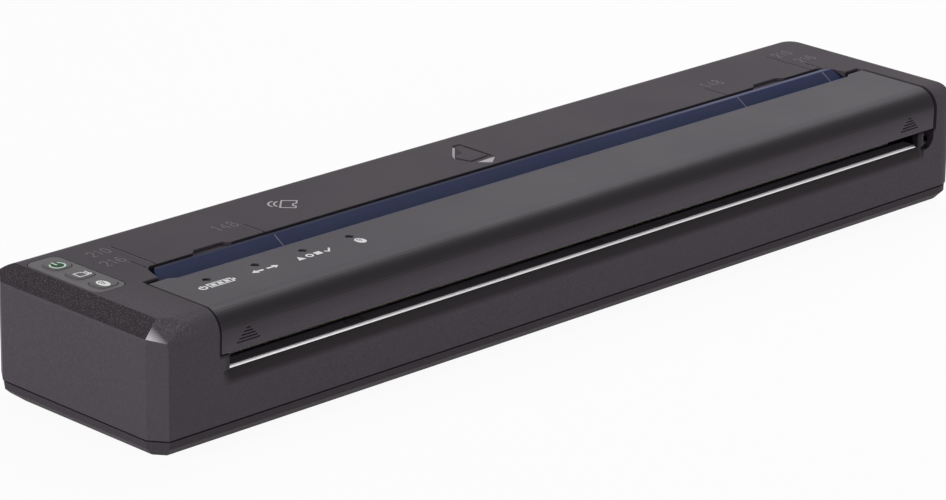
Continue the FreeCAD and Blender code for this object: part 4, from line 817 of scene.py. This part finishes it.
def width_labels(dark, light):
    """Raised numbers in mm of paper width on both sides of its centre, in a painted highlight tone over a
    painted shadow copy, and painted highlights beside the grooves.
    """
    numbers, shadows, highlight_strokes = [], [], []
    for text, centre, height, stretch in WIDTH_LABELS:
        for x in (centre[0], 2 * PAPER_CENTRE - centre[0]):
            numbers += number(text, (x, centre[1]), height, stretch)
            shadows += number(text, (x + LABEL_SHADOW[0], centre[1] + LABEL_SHADOW[1]), height, stretch)
    for x, low, high in GROOVES:
        for place in (x, 2 * PAPER_CENTRE - x):
            highlight_strokes.append(stroke([(place - GROOVE_HIGHLIGHT_SHIFT, low), (place - GROOVE_HIGHLIGHT_SHIFT, high)], GROOVE_HIGHLIGHT_LINE))
    sheets("label_shadows", shadows, HOUSING_FACE, dark, rise=BADGE_RISE)
    sheets("label_numbers", numbers, HOUSING_FACE, light)
    sheets("groove_highlights", highlight_strokes, HOUSING_FACE, light)


def centre_mark_highlight_and_shade(dark, light):
    """Painted highlights and painted shade on the edges of the mark for the paper's centre."""
    sheets("centre_mark_highlight", [[list(loop)] for loop in MARK_HIGHLIGHTS], HOUSING_FACE, light)
    shapes = [[list(MARK_SHADE_WEDGE)]] + [stroke(line, MARK_SHADE_LINE) for line in MARK_SHADE_LINES]
    sheets("centre_mark_shade", shapes, HOUSING_FACE, dark)


def slope_lines(material):
    """Fine guide lines down the strip's slope."""
    shapes = [stroke([(x, y) for y in SLOPE_ENDS], SLOPE_LINE) for x in SLOPE_LINES]
    sheets("slope_lines", shapes, STRIP_FACE, material)


def strip_rim_highlight(material):
    """Painted highlight on the rim where the cover meets the strip."""
    sheets("strip_rim_highlight", [stroke(RIM_ENDS, RIM_LINE)], COVER_FACE, material)


def bar_recess_shade(dark):
    """Painted shade outlining two small recesses in the tear bar's upper face."""
    shapes = []
    for x in RECESS_PLACES:
        outline = rectangle(x - RECESS_HALF, x + RECESS_HALF, *RECESS_SIDES)
        shapes.append(stroke(outline, RECESS_LINE, True))
    sheets("bar_recess_shade", shapes, BAR_FACE, dark)


def screw_cross_shade(dark):
    """Painted shade in the cross recesses of the case screws, seen from below."""
    reach, half = CROSS_REACH, CROSS_HALF
    quarter = [(-half, -reach), (half, -reach), (half, -half)]
    cross = []
    for _ in range(4):
        cross += quarter
        quarter = [(-y, x) for x, y in quarter]
    shapes = [[[(x + dx, y + dy) for dx, dy in cross]] for x, y in SCREW_PLACES]
    sheets("screw_cross_shade", shapes, SCREW_FACE, dark, below=True)


def make_marks():
    """Every printed or raised sign, and the sheets of painted highlight and painted shade on small details.
    """
    white = ink("white_ink", PRINT_WHITE)
    grey = ink("grey_ink", GREY_PRINT_AND_HIGHLIGHT)
    green = ink("green_ink", PRINT_GREEN)
    dark_green = ink("dark_green_ink", LAMP_GREEN)
    dark = ink("dark_print_and_shade_ink", DARK_PRINT_AND_SHADE)
    light = ink("relief_highlight_ink", RELIEF_HIGHLIGHT)
    lamp_legends(white, dark)
    key_marks(white, green, dark_green)
    reach_mark(grey)
    width_labels(dark, light)
    centre_mark_highlight_and_shade(dark, ink("centre_mark_highlight_ink", GREY_PRINT_AND_HIGHLIGHT))
    slope_lines(ink("guide_line_ink", GUIDE_LINE))
    strip_rim_highlight(ink("rim_highlight_ink", STRIP_RIM_HIGHLIGHT))
    bar_recess_shade(dark)
    screw_cross_shade(dark)


def make_world():
    """White around the object for the camera and in reflections, a plain soft sky for the light."""
    world = bpy.data.worlds.new("studio")
    bpy.context.scene.world = world
    world.use_nodes = True
    tree = world.node_tree
    back = tree.nodes["Background"]
    rays = tree.nodes.new("ShaderNodeLightPath").outputs
    seen = calculate(tree, "MAXIMUM", rays["Is Camera Ray"], rays["Is Transmission Ray"])
    white = calculate(tree, "MAXIMUM", seen, rays["Is Glossy Ray"])
    back.inputs["Color"].default_value = WHITE
    tree.links.new(ramp(tree, white, 0.0, 1.0, WORLD_LIGHT, 1.0), back.inputs["Strength"])


def make_floor():
    """Pale floor that looks white and keeps the object's shadow."""
    half = FLOOR_SIZE / 2
    corners = [(x, y, -FLOOR_LIFT) for x, y in rectangle(-half, half, -half, half)]
    mesh = bpy.data.meshes.new("floor")
    mesh.from_pydata(corners, [], [(0, 1, 2, 3)])
    floor = bpy.data.objects.new("floor", mesh)
    bpy.context.scene.collection.objects.link(floor)
    material, tree, shader = new_material("floor_white")
    shader.inputs["Base Color"].default_value = FLOOR_TONE
    shader.inputs["Roughness"].default_value = 0.9
    shader.inputs["Specular IOR Level"].default_value = 0.0
    glow = add(tree, "ShaderNodeEmission", Strength=1.0)
    rays = tree.nodes.new("ShaderNodeLightPath").outputs
    seen = calculate(tree, "MAXIMUM", rays["Is Camera Ray"], rays["Is Glossy Ray"])
    blend = tree.nodes.new("ShaderNodeMixShader")
    tree.links.new(ramp(tree, seen, 0.0, 1.0, 0.0, FLOOR_GLOW), blend.inputs[0])
    tree.links.new(shader.outputs[0], blend.inputs[1])
    tree.links.new(glow.outputs[0], blend.inputs[2])
    tree.links.new(blend.outputs[0], tree.nodes["Material Output"].inputs["Surface"])
    mesh.materials.append(material)


def area_light(name, direction, distance, size, power):
    """Soft square lamp in a direction from the object; lengths in metres."""
    data = bpy.data.lights.new(name, "AREA")
    data.shape = "SQUARE"
    data.size = size
    data.energy = power
    lamp = bpy.data.objects.new(name, data)
    bpy.context.scene.collection.objects.link(lamp)
    lamp.location = AIM + Vector(direction).normalized() * distance
    lamp.rotation_euler = (AIM - lamp.location).to_track_quat("-Z", "Y").to_euler()


def make_camera():
    """Camera at the picture's viewing angle."""
    azimuth = math.radians(CAMERA_AZIMUTH)
    elevation = math.radians(CAMERA_ELEVATION)
    roll = math.radians(CAMERA_ROLL)
    back = Vector((math.sin(azimuth) * math.cos(elevation), -math.cos(azimuth) * math.cos(elevation),
                   math.sin(elevation)))
    right = (-back).cross(Vector(UP)).normalized()
    up = right.cross(-back).normalized()
    turned_right = right * math.cos(roll) + up * math.sin(roll)
    turned_up = up * math.cos(roll) - right * math.sin(roll)
    data = bpy.data.cameras.new("camera")
    data.sensor_width = SENSOR_MM
    data.lens = FOCAL_PIXELS / PICTURE_WIDTH * SENSOR_MM
    camera = bpy.data.objects.new("camera", data)
    bpy.context.scene.collection.objects.link(camera)
    place = (Vector(CAMERA_TARGET) + back * CAMERA_DISTANCE) * MM
    turn = Matrix((turned_right, turned_up, back)).transposed().to_4x4()
    camera.matrix_world = Matrix.Translation(place) @ turn
    bpy.context.scene.camera = camera


make_camera()
dress_casings()
dress_metals()
dress_inside()
make_marks()
make_world()
make_floor()
for lamp in LAMPS:
    area_light(*lamp)
bpy.context.scene.view_settings.view_transform = "Standard"
